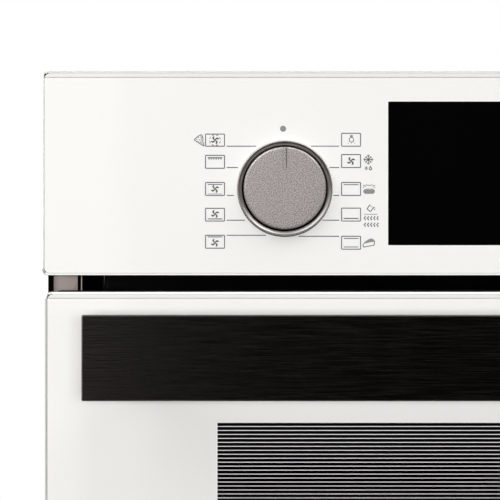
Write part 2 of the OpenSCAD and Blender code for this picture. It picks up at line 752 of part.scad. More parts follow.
// Glass lens of the lamp, screwed into the back wall
module lamp_lens() color("white") y_turned(lamp_x, lamp_z) polygon([
    [0, cavity_back_d - 12], [14, cavity_back_d - 11], [22, cavity_back_d - 6],
    [26, cavity_back_d - 4], [26, cavity_back_d], [20.8, cavity_back_d],
    [20.8, cavity_back_d + 6], [18, cavity_back_d + 6],
    [18, cavity_back_d - 3], [0, cavity_back_d - 8]
]);

// Bulb in its ceramic holder, which closes the hole from behind
module lamp_bulb() color("ivory") {
    translate([lamp_x, glass_y + cavity_back_d + 13, lamp_z]) sphere(r = 12);
    y_rod(lamp_x, cavity_back_d + 20, lamp_z, 8, 12);
    y_rod(lamp_x, cavity_back_d + 28, lamp_z, 20, 22);
}

// ---------------------------------------------------------------- cooling

// Flat duct that widens from the blower to the outlet over the door
module air_duct() color("silver") {
    back_d = 390;
    back_x = 112;
    neck_d = 300;
    mouth_wall = 1.4;
    outer = [[-duct_x, cavity_front_d], [duct_x, cavity_front_d], [back_x, neck_d],
        [back_x, back_d], [-back_x, back_d], [-back_x, neck_d]];
    inner = [[-duct_x + mouth_wall, cavity_front_d - 1], [duct_x - mouth_wall, cavity_front_d - 1],
        [back_x - sheet, neck_d], [back_x - sheet, back_d - sheet],
        [-back_x + sheet, back_d - sheet], [-back_x + sheet, neck_d]];
    flat_slab(duct_z, duct_z + sheet) difference() {
        polygon(outer);
        at_2d(0, vent_d) circle(vent_r + sheet + 0.2);
    }
    flat_slab(duct_z + sheet, duct_z + duct_h - sheet) difference() {
        polygon(outer);
        polygon(inner);
    }
    flat_slab(duct_z + duct_h - sheet, duct_z + duct_h) difference() {
        polygon(outer);
        at_2d(-blower_x, blower_d - 20) square([2 * blower_x, 46]);
    }
}

// Housing of the cross-flow blower, with the motor on its right end
module cooling_fan_housing() color("silver") {
    z = [duct_z + duct_h, blower_z + blower_r + 6];
    d = [blower_d - 38, blower_d + 38];
    x = blower_x + 6;
    for (s = [-1, 1]) difference() {
        block([s * x - 1, s * x + 1], d, z);
        x_rod(s * x - 4, blower_d, blower_z, 3 + fit, 8);
    }
    block([-x + 1, x - 1], [d[1] - sheet, d[1]], z);
    block([-x + 1, x - 1], [d[0], d[0] + sheet], [z[0], z[0] + 14]);
    difference() {
        x_rod(x + 1, blower_d, blower_z, 26, 34);
        x_rod(x, blower_d, blower_z, 3 + fit, 20);
    }
}

// Rotor of the blower: discs, slanted blades and a shaft
module cooling_fan_rotor() color("gray") {
    for (x = [-blower_x, -0.5, blower_x - 1]) x_rod(x, blower_d, blower_z, blower_r, 1);
    blades = 20;
    for (i = [0:blades - 1]) translate([-blower_x, glass_y + blower_d, blower_z])
        rotate([i * 360 / blades, 0, 0]) translate([0, blower_r - 6, 0]) rotate([35, 0, 0])
            cube([2 * blower_x, 7, 0.8]);
    x_rod(-blower_x - 8, blower_d, blower_z, 3, 2 * blower_x + 28);
}

// ---------------------------------------------------------------- casing

// Base tray that the oven stands on, with rails for stiffness and air slots
module base_plate() color("silver") difference() {
    union() {
        block([-wall_x, wall_x], [cavity_front_d, body_back_d - sheet], [0, sheet]);
        for (s = [-1, 1])
            block([s * (wall_x - 0.5) - 0.5, s * (wall_x - 0.5) + 0.5],
                [cavity_front_d, body_back_d - sheet], [sheet, 12]);
    }
    for (x = [-180:30:180], d = [140, 380])
        block([x - 4, x + 4], [d, d + 70], [-1, sheet + 1]);
}

// Side panel: stepped at the top back, recessed at the lower front, with the flange
// that laps the cabinet and a plastic edging along it
module side_panel(right) color("silver") on_side(right) difference() {
    union() {
        side_slab(wall_x, body_x) polygon([
            [cavity_front_d, 0], [body_back_d, 0], [body_back_d, step_z],
            [upper_back_d, step_z], [upper_back_d, body_h], [flange_d, body_h],
            [flange_d, 60], [cavity_front_d, 60]
        ]);
        block([body_x, flange_x], [flange_d, flange_d + sheet], [60, body_h]);
        block([flange_x, edging_x], [flange_d - 3, flange_d + 1], [60, body_h]);
    }
    for (z = screw_z) y_rod(screw_x, flange_d - 1, z, screw_r, 4);
    for (d = [300:24:480]) side_slab(wall_x - 1, body_x + 1)
        at_2d(d, 520) square([5, 40]);
}
module left_side_panel() side_panel(false);
module right_side_panel() side_panel(true);

// Roof and back: two folded sheets, with louvres, and the screws that hold them
module body_covers() color("silver") {
    difference() {
        block([-wall_x, wall_x], [flange_d + 2, upper_back_d - sheet], [body_h - sheet, body_h]);
        for (x = [-150:20:150])
            block([x - 4, x + 4], [300, 380], [body_h - 2, body_h + 1]);
    }
    difference() {
        union() {
            block([-wall_x, wall_x], [upper_back_d - sheet, upper_back_d],
                [step_z - sheet, body_h]);
            block([-wall_x, wall_x], [upper_back_d, body_back_d - sheet],
                [step_z - sheet, step_z]);
            block([-wall_x, wall_x], [body_back_d - sheet, body_back_d], [0, step_z]);
        }
        for (x = [-90:20:90], z = [150, 320])
            block([x - 4, x + 4], [body_back_d - 2, body_back_d + 1], [z, z + 60]);
    }
}

// Terminal box on the upper back, with the cable gland on its side
module terminal_box() color("black") difference() {
    box_x = [-238, -150];
    box_d = [upper_back_d, body_back_d];
    box_z = [505, 565];
    gland_d = (box_d[0] + box_d[1]) / 2;
    gland_z = (box_z[0] + box_z[1]) / 2;
    wall = 2;
    union() {
        block(box_x, box_d, box_z);
        x_rod(box_x[1], gland_d, gland_z, 10, 16);
        x_rod(box_x[1], gland_d, gland_z, 11.5, 6);
    }
    block([box_x[0] + wall, box_x[1] - wall], [box_d[0] + wall, box_d[1] - wall],
        [box_z[0] + wall, box_z[1] - wall]);
    x_rod(box_x[1] - 10, gland_d, gland_z, 5, 40);
}

// ---------------------------------------------------------------- nodes

control_panel_glass();
display_lens();
display_module();
panel_carrier();
function_bezel();
temperature_bezel();
function_spindle();
temperature_spindle();
function_knob();
temperature_knob();
knob_springs();
function_switch();
thermostat();
switch_crossbar();
door_outer_glass();
door_middle_glass();
door_inner_glass();
door_left_profile();
door_right_profile();
door_top_trim();
door_bottom_profile();
glass_spacers();
handle_bar();
left_handle_post();
right_handle_post();
handle_screws();
left_hinge_arm();
right_hinge_arm();
left_hinge_housing();
right_hinge_housing();
hinge_pins();
left_hinge_drawbar();
right_hinge_drawbar();
left_hinge_spring();
right_hinge_spring();
front_frame();
door_seal();
cavity_shell();
cavity_back();
insulation();
fan_baffle();
fan_impeller();
fan_motor();
ring_element();
grill_element();
bottom_element();
left_shelf_rack();
right_shelf_rack();
wire_shelf();
baking_tray();
lamp_lens();
lamp_bulb();
air_duct();
cooling_fan_housing();
cooling_fan_rotor();
base_plate();
left_side_panel();
right_side_panel();
body_covers();
terminal_box();
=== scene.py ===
"""Looks of the built-in wall oven: pieces, materials, light and camera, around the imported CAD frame.

Lengths are in metres; MM turns millimetres into metres. The front faces -Y.
"""

import json
import math

import bmesh
import bpy
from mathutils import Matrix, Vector
from mathutils.geometry import tessellate_polygon


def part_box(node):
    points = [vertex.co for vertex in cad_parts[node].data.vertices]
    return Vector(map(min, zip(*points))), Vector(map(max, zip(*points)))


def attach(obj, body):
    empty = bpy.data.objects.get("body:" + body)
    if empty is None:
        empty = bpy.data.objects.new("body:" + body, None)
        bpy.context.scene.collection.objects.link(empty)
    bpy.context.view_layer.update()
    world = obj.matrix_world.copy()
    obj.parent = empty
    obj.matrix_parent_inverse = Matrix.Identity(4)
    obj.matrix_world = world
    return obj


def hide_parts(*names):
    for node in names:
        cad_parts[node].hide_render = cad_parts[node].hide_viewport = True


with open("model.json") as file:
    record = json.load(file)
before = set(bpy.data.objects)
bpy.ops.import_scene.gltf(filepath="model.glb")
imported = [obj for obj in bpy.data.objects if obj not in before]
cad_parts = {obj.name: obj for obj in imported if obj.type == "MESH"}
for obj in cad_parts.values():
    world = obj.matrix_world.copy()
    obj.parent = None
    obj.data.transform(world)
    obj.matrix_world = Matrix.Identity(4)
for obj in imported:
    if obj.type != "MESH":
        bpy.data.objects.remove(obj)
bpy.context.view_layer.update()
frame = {"nodes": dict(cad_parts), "record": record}

MM = 0.001
BODY = "oven_body"
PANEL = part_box("control_panel_glass")
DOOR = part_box("door_outer_glass")
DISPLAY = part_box("display_lens")
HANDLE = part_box("handle_bar")
FRONT_Y = PANEL[0].y


# ------------------------------------------------------------------ mesh building

MERGE = 1e-7             # vertices closer than this become one
MITRE_LIMIT = 0.4        # least cosine at a stroke's bend, which keeps sharp bends short


class Shape:
    """Collects vertices and faces, each face with a material number, and makes one object."""

    def __init__(self):
        self.verts = []
        self.faces = []
        self.numbers = []

    def loop(self, points):
        start = len(self.verts)
        self.verts += [tuple(p) for p in points]
        return list(range(start, len(self.verts)))

    def face(self, indices, number=0):
        self.faces.append(list(indices))
        self.numbers.append(number)

    def bridge(self, a, b, number=0, closed=True):
        """Quads between two loops; number may be a list with one entry for each quad."""
        count = len(a)
        for i in range(count if closed else count - 1):
            j = (i + 1) % count
            self.face((a[i], a[j], b[j], b[i]), number[i] if isinstance(number, list) else number)

    def fill(self, loops, number=0):
        """A flat face whose first loop is the outline and whose other loops are holes."""
        flat = [i for one in loops for i in one]
        points = [[Vector(self.verts[i]) for i in one] for one in loops]
        for triangle in tessellate_polygon(points):
            self.face([flat[i] for i in triangle], number)

    def box(self, low, high):
        corners = [(x, y, z) for z in (low[2], high[2]) for y in (low[1], high[1])
                   for x in (low[0], high[0])]
        i = self.loop(corners)
        for quad in ((0, 2, 3, 1), (4, 5, 7, 6), (0, 1, 5, 4), (2, 6, 7, 3), (0, 4, 6, 2), (1, 3, 7, 5)):
            self.face([i[k] for k in quad])

    def prism(self, loops, y0, y1):
        """A flat outline in X and Z, with holes, given thickness along Y."""
        front = [self.loop((x, y0, z) for x, z in one) for one in loops]
        back = [self.loop((x, y1, z) for x, z in one) for one in loops]
        self.fill(front)
        self.fill(back)
        for a, b in zip(front, back):
            self.bridge(a, b)

    def ribbon(self, points, width, y0, y1, closed=False):
        """A stroke of the given width, or of a width at each point, along points in X and Z."""
        count = len(points)
        widths = width if isinstance(width, (list, tuple)) else [width] * count
        left, right = [], []
        for i, (x, z) in enumerate(points):
            before = points[i - 1] if closed or i else points[i]
            after = points[(i + 1) % count] if closed or i + 1 < count else points[i]
            along = Vector((after[0] - before[0], after[1] - before[1])).normalized()
            side = Vector((-along.y, along.x)) * widths[i] / 2
            if 0 < i < count - 1 or closed:
                step = Vector((after[0] - x, after[1] - z)).normalized()
                side /= max(MITRE_LIMIT, abs(step.dot(along)))
            left.append((x + side.x, z + side.y))
            right.append((x - side.x, z - side.y))
        if closed:
            self.prism([left, right], y0, y1)
            return
        rows = [[self.loop((x, y, z) for x, z in one) for one in (left, right)] for y in (y0, y1)]
        for one_left, one_right in rows:
            self.bridge(one_left, one_right, closed=False)
        around = [rows[k][0] + rows[k][1][::-1] for k in (0, 1)]
        self.bridge(around[0], around[1])

    def lathe(self, profile, centre, axis="y", steps=96, radius=None, capped=True):
        """Turns (radius, distance) points about an axis through centre.

        radius(r, k) may reshape step k of a turn. A profile that ends where it starts is not capped.
        """
        rings = []
        for r, d in profile:
            ring = []
            for k in range(steps):
                angle = 2 * math.pi * k / steps
                reach = radius(r, k) if radius else r
                u, v = reach * math.cos(angle), reach * math.sin(angle)
                offset = {"y": (u, d, v), "x": (d, u, v), "z": (u, v, d)}[axis]
                ring.append(Vector(centre) + Vector(offset))
            rings.append(self.loop(ring))
        for a, b in zip(rings, rings[1:]):
            self.bridge(a, b)
        for ring in (rings[0], rings[-1]) if capped else ():
            self.face(ring)

    def place(self, name, body, materials, slot=None, smooth=None, replaces=()):
        """Makes the object; smooth is the angle in degrees over which an edge stays sharp."""
        mesh = bpy.data.meshes.new(name)
        mesh.from_pydata(self.verts, [], self.faces)
        for material in materials if isinstance(materials, (list, tuple)) else [materials]:
            mesh.materials.append(material)
        mesh.polygons.foreach_set("material_index", self.numbers)
        work = bmesh.new()
        work.from_mesh(mesh)
        bmesh.ops.remove_doubles(work, verts=work.verts, dist=MERGE)
        bmesh.ops.dissolve_degenerate(work, edges=work.edges, dist=MERGE)
        bmesh.ops.recalc_face_normals(work, faces=work.faces)
        work.to_mesh(mesh)
        work.free()
        if smooth:
            mesh.polygons.foreach_set("use_smooth", [True] * len(mesh.polygons))
            mesh.set_sharp_from_angle(angle=math.radians(smooth))
        piece = bpy.data.objects.new(name, mesh)
        bpy.context.scene.collection.objects.link(piece)
        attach(piece, body)
        if replaces:
            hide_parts(*replaces)
        return piece


def circle(x, z, r, steps=48, start=0.0, turn=360.0):
    """Points of a circle, or of an arc where turn is under 360, in degrees from the +X side."""
    last = steps if turn >= 360 else steps - 1
    angles = [math.radians(start + turn * i / last) for i in range(steps)]
    return [(x + r * math.cos(a), z + r * math.sin(a)) for a in angles]


def rounded(x0, x1, z0, z1, r, steps=6):
    """Outline of a rectangle with round corners."""
    corners = ((x1 - r, z1 - r, 0), (x0 + r, z1 - r, 90),
               (x0 + r, z0 + r, 180), (x1 - r, z0 + r, 270))
    return [p for x, z, a in corners for p in circle(x, z, r, steps, a, 90)]


def rectangle(x0, x1, z0, z1):
    return [(x0, z0), (x1, z0), (x1, z1), (x0, z1)]


# ------------------------------------------------------------------ materials

NOISE_DETAIL = 5.0
CRISP_RANGE = (0.38, 0.62)      # part of the noise that a crisp material spreads over its whole range
BUMP_STRENGTH = 0.6
COAT_ROUGHNESS = 0.03
SPECK_CELLS = 700               # cells per metre
SPECK_RANGE = (0.22, 0.12)      # distances from a cell's centre where a speck starts and is full
CRYSTAL_CELLS = 110
CRYSTAL_GAIN = (0.86, 1.08)


def surface(name, color, rough, metal=0.0, grain=80.0, stretch=(1, 1, 1), shade=0.06, rough_shade=0.1,
            bump=0.0, coat=0.0, alpha=1.0, tint=None, crisp=False, specular=0.5, glow=0.0):
    """A Principled material whose colour, roughness and height vary with noise in the object's own space.

    grain is the noise's scale per metre and stretch its scale along each axis. shade and rough_shade are
    how far the colour and the roughness go either way, tint the lighter colour where the colour itself is
    not to set it, and bump the height in metres. crisp makes the noise's grains stand out, specular is the
    shader's level of reflection, and glow the strength of the light that comes out of the surface.
    """
    material = bpy.data.materials.new(name)
    material.use_nodes = True
    nodes, links = material.node_tree.nodes, material.node_tree.links
    shader = nodes["Principled BSDF"]
    shader.inputs["Metallic"].default_value = metal
    shader.inputs["Coat Weight"].default_value = coat
    shader.inputs["Coat Roughness"].default_value = COAT_ROUGHNESS
    shader.inputs["Alpha"].default_value = alpha
    shader.inputs["Specular IOR Level"].default_value = specular
    shader.inputs["Emission Color"].default_value = (1, 1, 1, 1)
    shader.inputs["Emission Strength"].default_value = glow
    place = nodes.new("ShaderNodeTexCoord")
    scale = nodes.new("ShaderNodeMapping")
    scale.inputs["Scale"].default_value = stretch
    noise = nodes.new("ShaderNodeTexNoise")
    noise.inputs["Scale"].default_value = grain
    noise.inputs["Detail"].default_value = NOISE_DETAIL
    links.new(place.outputs["Object"], scale.inputs["Vector"])
    links.new(scale.outputs["Vector"], noise.inputs["Vector"])
    mix = nodes.new("ShaderNodeMix")
    mix.data_type = "RGBA"
    mix.inputs["A"].default_value = (*[c * (1 - shade) for c in color], 1)
    mix.inputs["B"].default_value = (*(tint or [min(1, c * (1 + shade)) for c in color]), 1)
    contrast = nodes.new("ShaderNodeMapRange")
    contrast.inputs["From Min"].default_value = CRISP_RANGE[0] if crisp else 0.0
    contrast.inputs["From Max"].default_value = CRISP_RANGE[1] if crisp else 1.0
    links.new(noise.outputs["Fac"], contrast.inputs["Value"])
    links.new(contrast.outputs["Result"], mix.inputs["Factor"])
    links.new(mix.outputs["Result"], shader.inputs["Base Color"])
    spread = nodes.new("ShaderNodeMapRange")
    spread.inputs["To Min"].default_value = max(0.0, rough * (1 - rough_shade))
    spread.inputs["To Max"].default_value = min(1.0, rough * (1 + rough_shade))
    links.new(contrast.outputs["Result"] if crisp else noise.outputs["Fac"], spread.inputs["Value"])
    links.new(spread.outputs["Result"], shader.inputs["Roughness"])
    if bump:
        height = nodes.new("ShaderNodeBump")
        height.inputs["Strength"].default_value = BUMP_STRENGTH
        height.inputs["Distance"].default_value = bump
        links.new(noise.outputs["Fac"], height.inputs["Height"])
        links.new(height.outputs["Normal"], shader.inputs["Normal"])
    return material


def cell_texture(material, cells_per_metre):
    """Adds cells in the object's own space, and gives the texture, the nodes and the links."""
    nodes, links = material.node_tree.nodes, material.node_tree.links
    cells = nodes.new("ShaderNodeTexVoronoi")
    cells.inputs["Scale"].default_value = cells_per_metre
    place = next(n for n in nodes if n.bl_idname == "ShaderNodeTexCoord")
    links.new(place.outputs["Object"], cells.inputs["Vector"])
    return cells, nodes, links


def speckled(name, color, speck, rough, grain):
    """Vitreous enamel: a glossy coat over a colour with small light specks."""
    material = surface(name, color, rough, grain=grain, shade=0.1, coat=0.5, bump=0.00002)
    cells, nodes, links = cell_texture(material, SPECK_CELLS)
    near = nodes.new("ShaderNodeMapRange")
    near.inputs["From Min"].default_value = SPECK_RANGE[0]
    near.inputs["From Max"].default_value = SPECK_RANGE[1]
    links.new(cells.outputs["Distance"], near.inputs["Value"])
    over = nodes.new("ShaderNodeMix")
    over.data_type = "RGBA"
    over.inputs["B"].default_value = (*speck, 1)
    shader = nodes["Principled BSDF"]
    below = shader.inputs["Base Color"].links[0].from_socket
    links.new(below, over.inputs["A"])
    links.new(near.outputs["Result"], over.inputs["Factor"])
    links.new(over.outputs["Result"], shader.inputs["Base Color"])
    return material


def spangled(name, color, rough):
    """Galvanised sheet: angular crystals of slightly different grey."""
    material = surface(name, color, rough, metal=0.45, grain=400, shade=0.04, bump=0.000015)
    cells, nodes, links = cell_texture(material, CRYSTAL_CELLS)
    split = nodes.new("ShaderNodeSeparateColor")
    links.new(cells.outputs["Color"], split.inputs["Color"])
    gain = nodes.new("ShaderNodeMapRange")
    gain.inputs["To Min"].default_value = CRYSTAL_GAIN[0]
    gain.inputs["To Max"].default_value = CRYSTAL_GAIN[1]
    links.new(split.outputs["Red"], gain.inputs["Value"])
    tone = nodes.new("ShaderNodeMix")
    tone.data_type = "RGBA"
    tone.blend_type = "MULTIPLY"
    tone.inputs["Factor"].default_value = 1
    shader = nodes["Principled BSDF"]
    links.new(shader.inputs["Base Color"].links[0].from_socket, tone.inputs["A"])
    links.new(gain.outputs["Result"], tone.inputs["B"])
    links.new(tone.outputs["Result"], shader.inputs["Base Color"])
    return material


BRUSHED_X = (0.02, 1, 1)

white_print = surface("white_print", (0.88, 0.88, 0.865), 0.05, grain=6, shade=0.006)
white_ink = surface("white_ink", (0.86, 0.85, 0.83), 0.25, grain=300, shade=0.02)
# Painted shade: a darker white for the band under each pane's top edge
top_band_painted_shade = surface("top_band_painted_shade", (0.815, 0.81, 0.79), 0.05, grain=6, shade=0.006)
glass_edge = surface("glass_edge", (0.64, 0.66, 0.63), 0.08, grain=40, shade=0.05, coat=0.6)
# Painted light: the lower arris of each pane, and the door pane's upper arris, glows though it is no lamp
edge_painted_glow = surface("edge_painted_glow", (0.92, 0.92, 0.91), 0.2, grain=40, shade=0.01, glow=0.55)
# Painted shade and highlight: the line where a pane's bevel meets its face, dark on the sides and pale on
# top and bottom
bevel_line_painted_shade = surface("bevel_line_painted_shade", (0.24, 0.26, 0.24), 0.15, grain=200, shade=0.1)
bevel_line_painted_highlight = surface("bevel_line_painted_highlight", (0.60, 0.61, 0.58), 0.15, grain=200, shade=0.05)
print_dark = surface("print_dark", (0.10, 0.105, 0.10), 0.4, grain=900, shade=0.12)
print_grey = surface("print_grey", (0.25, 0.27, 0.26), 0.4, grain=900, shade=0.12)
display_black = surface("display_black", (0.0012, 0.0012, 0.0012), 0.03, grain=20, shade=0.3)
window_black = surface("window_black", (0.003, 0.0035, 0.003), 0.04, grain=7, shade=0.5,
                       tint=(0.010, 0.008, 0.012))
clear_pane = surface("clear_pane", (0.10, 0.14, 0.125), 0.02, grain=10, shade=0.02, alpha=0.13)
black_handle = surface("black_handle", (0.0023, 0.0021, 0.0020), 0.245, grain=2200,
                       stretch=BRUSHED_X, shade=0.5, rough_shade=0.3, crisp=True, bump=0.00001)
bar_edge = surface("bar_edge", (0.24, 0.20, 0.175), 0.3, metal=0.9, grain=900,
                   stretch=BRUSHED_X, shade=0.1)
knob_metal = surface("knob_metal", (0.657, 0.608, 0.600), 0.42, metal=0.6, grain=1800, shade=0.42,
                     crisp=True, bump=0.00003)
# Painted shade: the dark strip on the right wall of each knob's groove
groove_shade_paint = surface("groove_shade_paint", (0.10, 0.095, 0.09), 0.5, grain=900, shade=0.1)
bezel_metal = surface("bezel_metal", (0.55, 0.52, 0.50), 0.45, metal=1.0, grain=1200, shade=0.06,
                      bump=0.00001)
# Painted highlight: the bright line along the fold of each side flange
fold_painted_highlight = surface("fold_painted_highlight", (0.62, 0.54, 0.50), 0.42, metal=0.3, grain=400, shade=0.05)
galvanised = spangled("galvanised", (0.56, 0.545, 0.53), 0.42)
flange_zinc = spangled("flange_zinc", (0.54, 0.47, 0.445), 0.42)
black_enamel = surface("black_enamel", (0.003, 0.003, 0.003), 0.12, grain=60, shade=0.2, bump=0.00003)
grey_enamel = speckled("grey_enamel", (0.022, 0.023, 0.028), (0.13, 0.14, 0.16), 0.16, 60)
aluminised = surface("aluminised", (0.62, 0.62, 0.60), 0.45, metal=0.9, grain=500, shade=0.08,
                     bump=0.00001)
black_plastic = surface("black_plastic", (0.006, 0.006, 0.006), 0.55, grain=1800, shade=0.2, bump=0.00004,
                        specular=0.3)
# Painted shadow: a near-perfect black for strips set where the gaps beside the door and panel lie in shade
painted_shadow_black = surface("painted_shadow_black", (0.0006, 0.0006, 0.0006), 0.8, grain=900, shade=0.2, specular=0.06)
# Painted shade: a matte black for the faces in the shaded gap over the door, some of which are black anyway
gap_black_and_painted_shade = surface("gap_black_and_painted_shade", (0.009, 0.009, 0.009), 0.8, grain=900, shade=0.2, specular=0.1)
grey_profile = surface("grey_profile", (0.035, 0.035, 0.036), 0.4, grain=900, shade=0.1, bump=0.00002)
silicone = surface("silicone", (0.030, 0.030, 0.032), 0.75, grain=700, shade=0.15, bump=0.00005)
zinc_steel = surface("zinc_steel", (0.62, 0.62, 0.58), 0.38, metal=0.95, grain=300, shade=0.08,
                     bump=0.00001)
spring_steel = surface("spring_steel", (0.42, 0.42, 0.42), 0.3, metal=1.0, grain=600, shade=0.1)
chromed_wire = surface("chromed_wire", (0.78, 0.78, 0.78), 0.12, metal=1.0, grain=60, shade=0.04)
heater_sheath = surface("heater_sheath", (0.085, 0.075, 0.068), 0.5, metal=0.7, grain=250, shade=0.35,
                        tint=(0.12, 0.10, 0.085), bump=0.00003)
wool = surface("wool", (0.66, 0.60, 0.38), 0.95, grain=350, shade=0.4, bump=0.001)
circuit_board = surface("circuit_board", (0.012, 0.09, 0.035), 0.3, grain=200, shade=0.2)
ivory_plastic = surface("ivory_plastic", (0.68, 0.64, 0.53), 0.35, grain=900, shade=0.05, bump=0.00001)
lamp_glass = surface("lamp_glass", (0.85, 0.86, 0.84), 0.1, grain=200, shade=0.05, alpha=0.55,
                     bump=0.0001)
lamp_ceramic = surface("lamp_ceramic", (0.78, 0.75, 0.70), 0.6, grain=400, shade=0.06, bump=0.00002)
rating_foil = surface("rating_foil", (0.66, 0.67, 0.68), 0.35, metal=0.8, grain=500, shade=0.05)

BY_SLOT = {
    "white_glass": white_print, "display_glass": display_black, "clear_glass": clear_pane,
    "black_handle": black_handle, "knob_metal": knob_metal, "bezel_metal": bezel_metal,
    "galvanised": galvanised, "black_enamel": black_enamel, "grey_enamel": grey_enamel,
    "aluminised": aluminised, "black_plastic": black_plastic, "grey_profile": grey_profile,
    "silicone": silicone, "zinc_steel": zinc_steel, "spring_steel": spring_steel,
    "chromed_wire": chromed_wire, "heater_sheath": heater_sheath, "wool": wool,
    "circuit_board": circuit_board, "ivory_plastic": ivory_plastic, "lamp_glass": lamp_glass,
    "lamp_ceramic": lamp_ceramic,
}


def dress_cad_nodes():
    """Gives every CAD node the material of its slot."""
    for part in frame["record"]["subparts"]:
        node = frame["nodes"][part["node"]]
        node.data.materials.clear()
        node.data.materials.append(BY_SLOT[part["material_slot"]])


def paint(name, material, chosen):
    """Gives a second material to the faces of a CAD node that chosen(centre, normal) picks."""
    node = frame["nodes"][name]
    node.data.materials.append(material)
    turn = node.matrix_world.to_3x3()
    for polygon in node.data.polygons:
        if chosen(node.matrix_world @ polygon.center, turn @ polygon.normal):
            polygon.material_index = 1


DUCT_SKIN = 0.1 * MM        # the duct's top and bottom faces lie within this of its box
DUCT_LIP = 1 * MM           # depth of the front edge that gets the painted shade too
FRAME_TOP = 4 * MM          # how far below the duct the frame's painted shade starts
FLANGE_REACH = 25 * MM      # front-facing faces this near the front belong to the flange


def paint_air_gap():
    """Matte black, partly the parts' own black and partly painted shade, on the faces behind the gap over
    the door, and warmer zinc on the front of the side flanges.
    """
    low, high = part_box("air_duct")
    paint("air_duct", gap_black_and_painted_shade,
          lambda at, normal: low.z + DUCT_SKIN < at.z < high.z - DUCT_SKIN or at.y < low.y + DUCT_LIP)
    paint("front_frame", gap_black_and_painted_shade, lambda at, normal: at.z > low.z - FRAME_TOP)
    paint("switch_crossbar", gap_black_and_painted_shade, lambda at, normal: normal.y < 0.5)
    for name in ("panel_carrier", "door_top_trim"):
        paint(name, gap_black_and_painted_shade, lambda at, normal: True)
    for name in ("left_side_panel", "right_side_panel"):
        paint(name, flange_zinc, lambda at, normal: normal.y < -0.9 and at.y < FRONT_Y + FLANGE_REACH)


# ------------------------------------------------------------------ glass fronts

CORNER_R = 3.2 * MM
CORNER_SHRINK = 0.45        # how much of an inset the corner's radius loses
CORNER_POINTS = 6
ARRIS = 0.9 * MM            # ground bevel round the front face
LINE_W = 0.4 * MM           # painted line where the bevel meets the face: shade on the sides, highlight on top and bottom
LINE_DEPTH = 0.02 * MM
SLOPE_END = (0.25 * MM, 0.75 * MM)      # inset and depth of the bevel's end
SIDE_START = 1.2 * MM
REAR_BEVEL = (0.6 * MM, 0.8 * MM)       # inset and depth of the bevel behind
BAND = 3.3 * MM             # lower edge of the painted shade band under a pane's top edge
BAND_GAP = 0.05 * MM

# What the numbers of a pane's faces stand for
PANE_LOOKS = [white_print, glass_edge, bevel_line_painted_shade, window_black, edge_painted_glow, bevel_line_painted_highlight, top_band_painted_shade]
PRINTED, EDGE, PAINTED_DARK_LINE, WINDOW, PAINTED_GLOW, PAINTED_PALE_LINE, PAINTED_SHADE = range(7)


def glass_sheet(name, box, holes, body, replaced, windows=(), painted_glow_top=False):
    """A pane with ground edges that carry painted light and shade. holes go right through; windows are
    outlines printed on both faces.
    """
    low, high = box
    shape = Shape()
    corner = CORNER_POINTS
    top, bottom = range(corner - 1, corner), range(3 * corner - 3, 3 * corner + 2)
    around = range(4 * corner)
    # painted light: a glowing bottom arris, and on the door's pane a glowing top arris too
    arris_look = [PAINTED_GLOW if i in bottom or (painted_glow_top and i in top) else EDGE for i in around]
    # painted highlight on the top and bottom lines, painted shade on the side lines
    line_look = [PAINTED_PALE_LINE if i in bottom or i in top else PAINTED_DARK_LINE for i in around]
    inner = ARRIS + LINE_W + BAND_GAP
    # painted shade: a darker band under the pane's top edge
    band = rectangle(low.x + inner, high.x - inner, high.z - BAND, high.z - inner)
    panels = [(window, WINDOW) for window in windows] + [(band, PAINTED_SHADE)]

    def level(inset, y):
        r = CORNER_R - CORNER_SHRINK * inset
        outline = rounded(low.x + inset, high.x - inset, low.z + inset, high.z - inset, r, corner)
        return shape.loop((x, y, z) for x, z in outline)

    def flat(outlines, y):
        return [shape.loop((x, y, z) for x, z in one) for one in outlines]

    front = low.y
    face = level(ARRIS + LINE_W, front)
    line = level(ARRIS, front + LINE_DEPTH)
    slope = level(SLOPE_END[0], front + SLOPE_END[1])
    side = level(0, front + SIDE_START)
    side_end = level(0, high.y - REAR_BEVEL[1])
    rear = level(REAR_BEVEL[0], high.y)
    hole_loops = flat(holes, front)
    panel_loops = flat([outline for outline, look in panels], front)
    shape.fill([face] + hole_loops + panel_loops, PRINTED)
    for loop, (outline, look) in zip(panel_loops, panels):
        shape.fill([loop], look)
    shape.bridge(face, line, line_look)
    shape.bridge(line, slope, arris_look)
    for a, b in ((slope, side), (side, side_end), (side_end, rear)):
        shape.bridge(a, b, EDGE)
    back_holes = flat(holes, high.y)
    back_windows = flat(windows, high.y)
    shape.fill([rear] + back_holes + back_windows, PRINTED)
    for loop in back_windows:
        shape.fill([loop], WINDOW)
    for a, b in zip(hole_loops, back_holes):
        shape.bridge(a, b, EDGE)
    return shape.place(name, body, PANE_LOOKS, "white_glass", replaces=[replaced])


def knob_centre(node):
    low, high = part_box(node)
    return Vector(((low.x + high.x) / 2, low.y, (low.z + high.z) / 2))


BEZEL_HOLE_R = 22.6 * MM
HOLE_STEPS = 64
function_axis = knob_centre("function_knob")
temperature_axis = knob_centre("temperature_knob")

WINDOW_X = 209.0 * MM
WINDOW_TOP = 417.73 * MM
STRIPE_PITCH = 2.0 * MM
STRIPE_WHITE = 0.35 * MM
STRIPES = 144
WINDOW_LOW = WINDOW_TOP - STRIPES * STRIPE_PITCH
INK_PROUD = 0.03 * MM
INK_SUNK = 0.02 * MM
DOOR_RISE = 0.3 * MM        # how much taller the door's pane is than in the CAD
# Outline of the inner glass's border, outside and inside: inset and corner radius
BORDER = ((1 * MM, 3 * MM), (34 * MM, 12 * MM))
BORDER_PROUD = 0.08 * MM


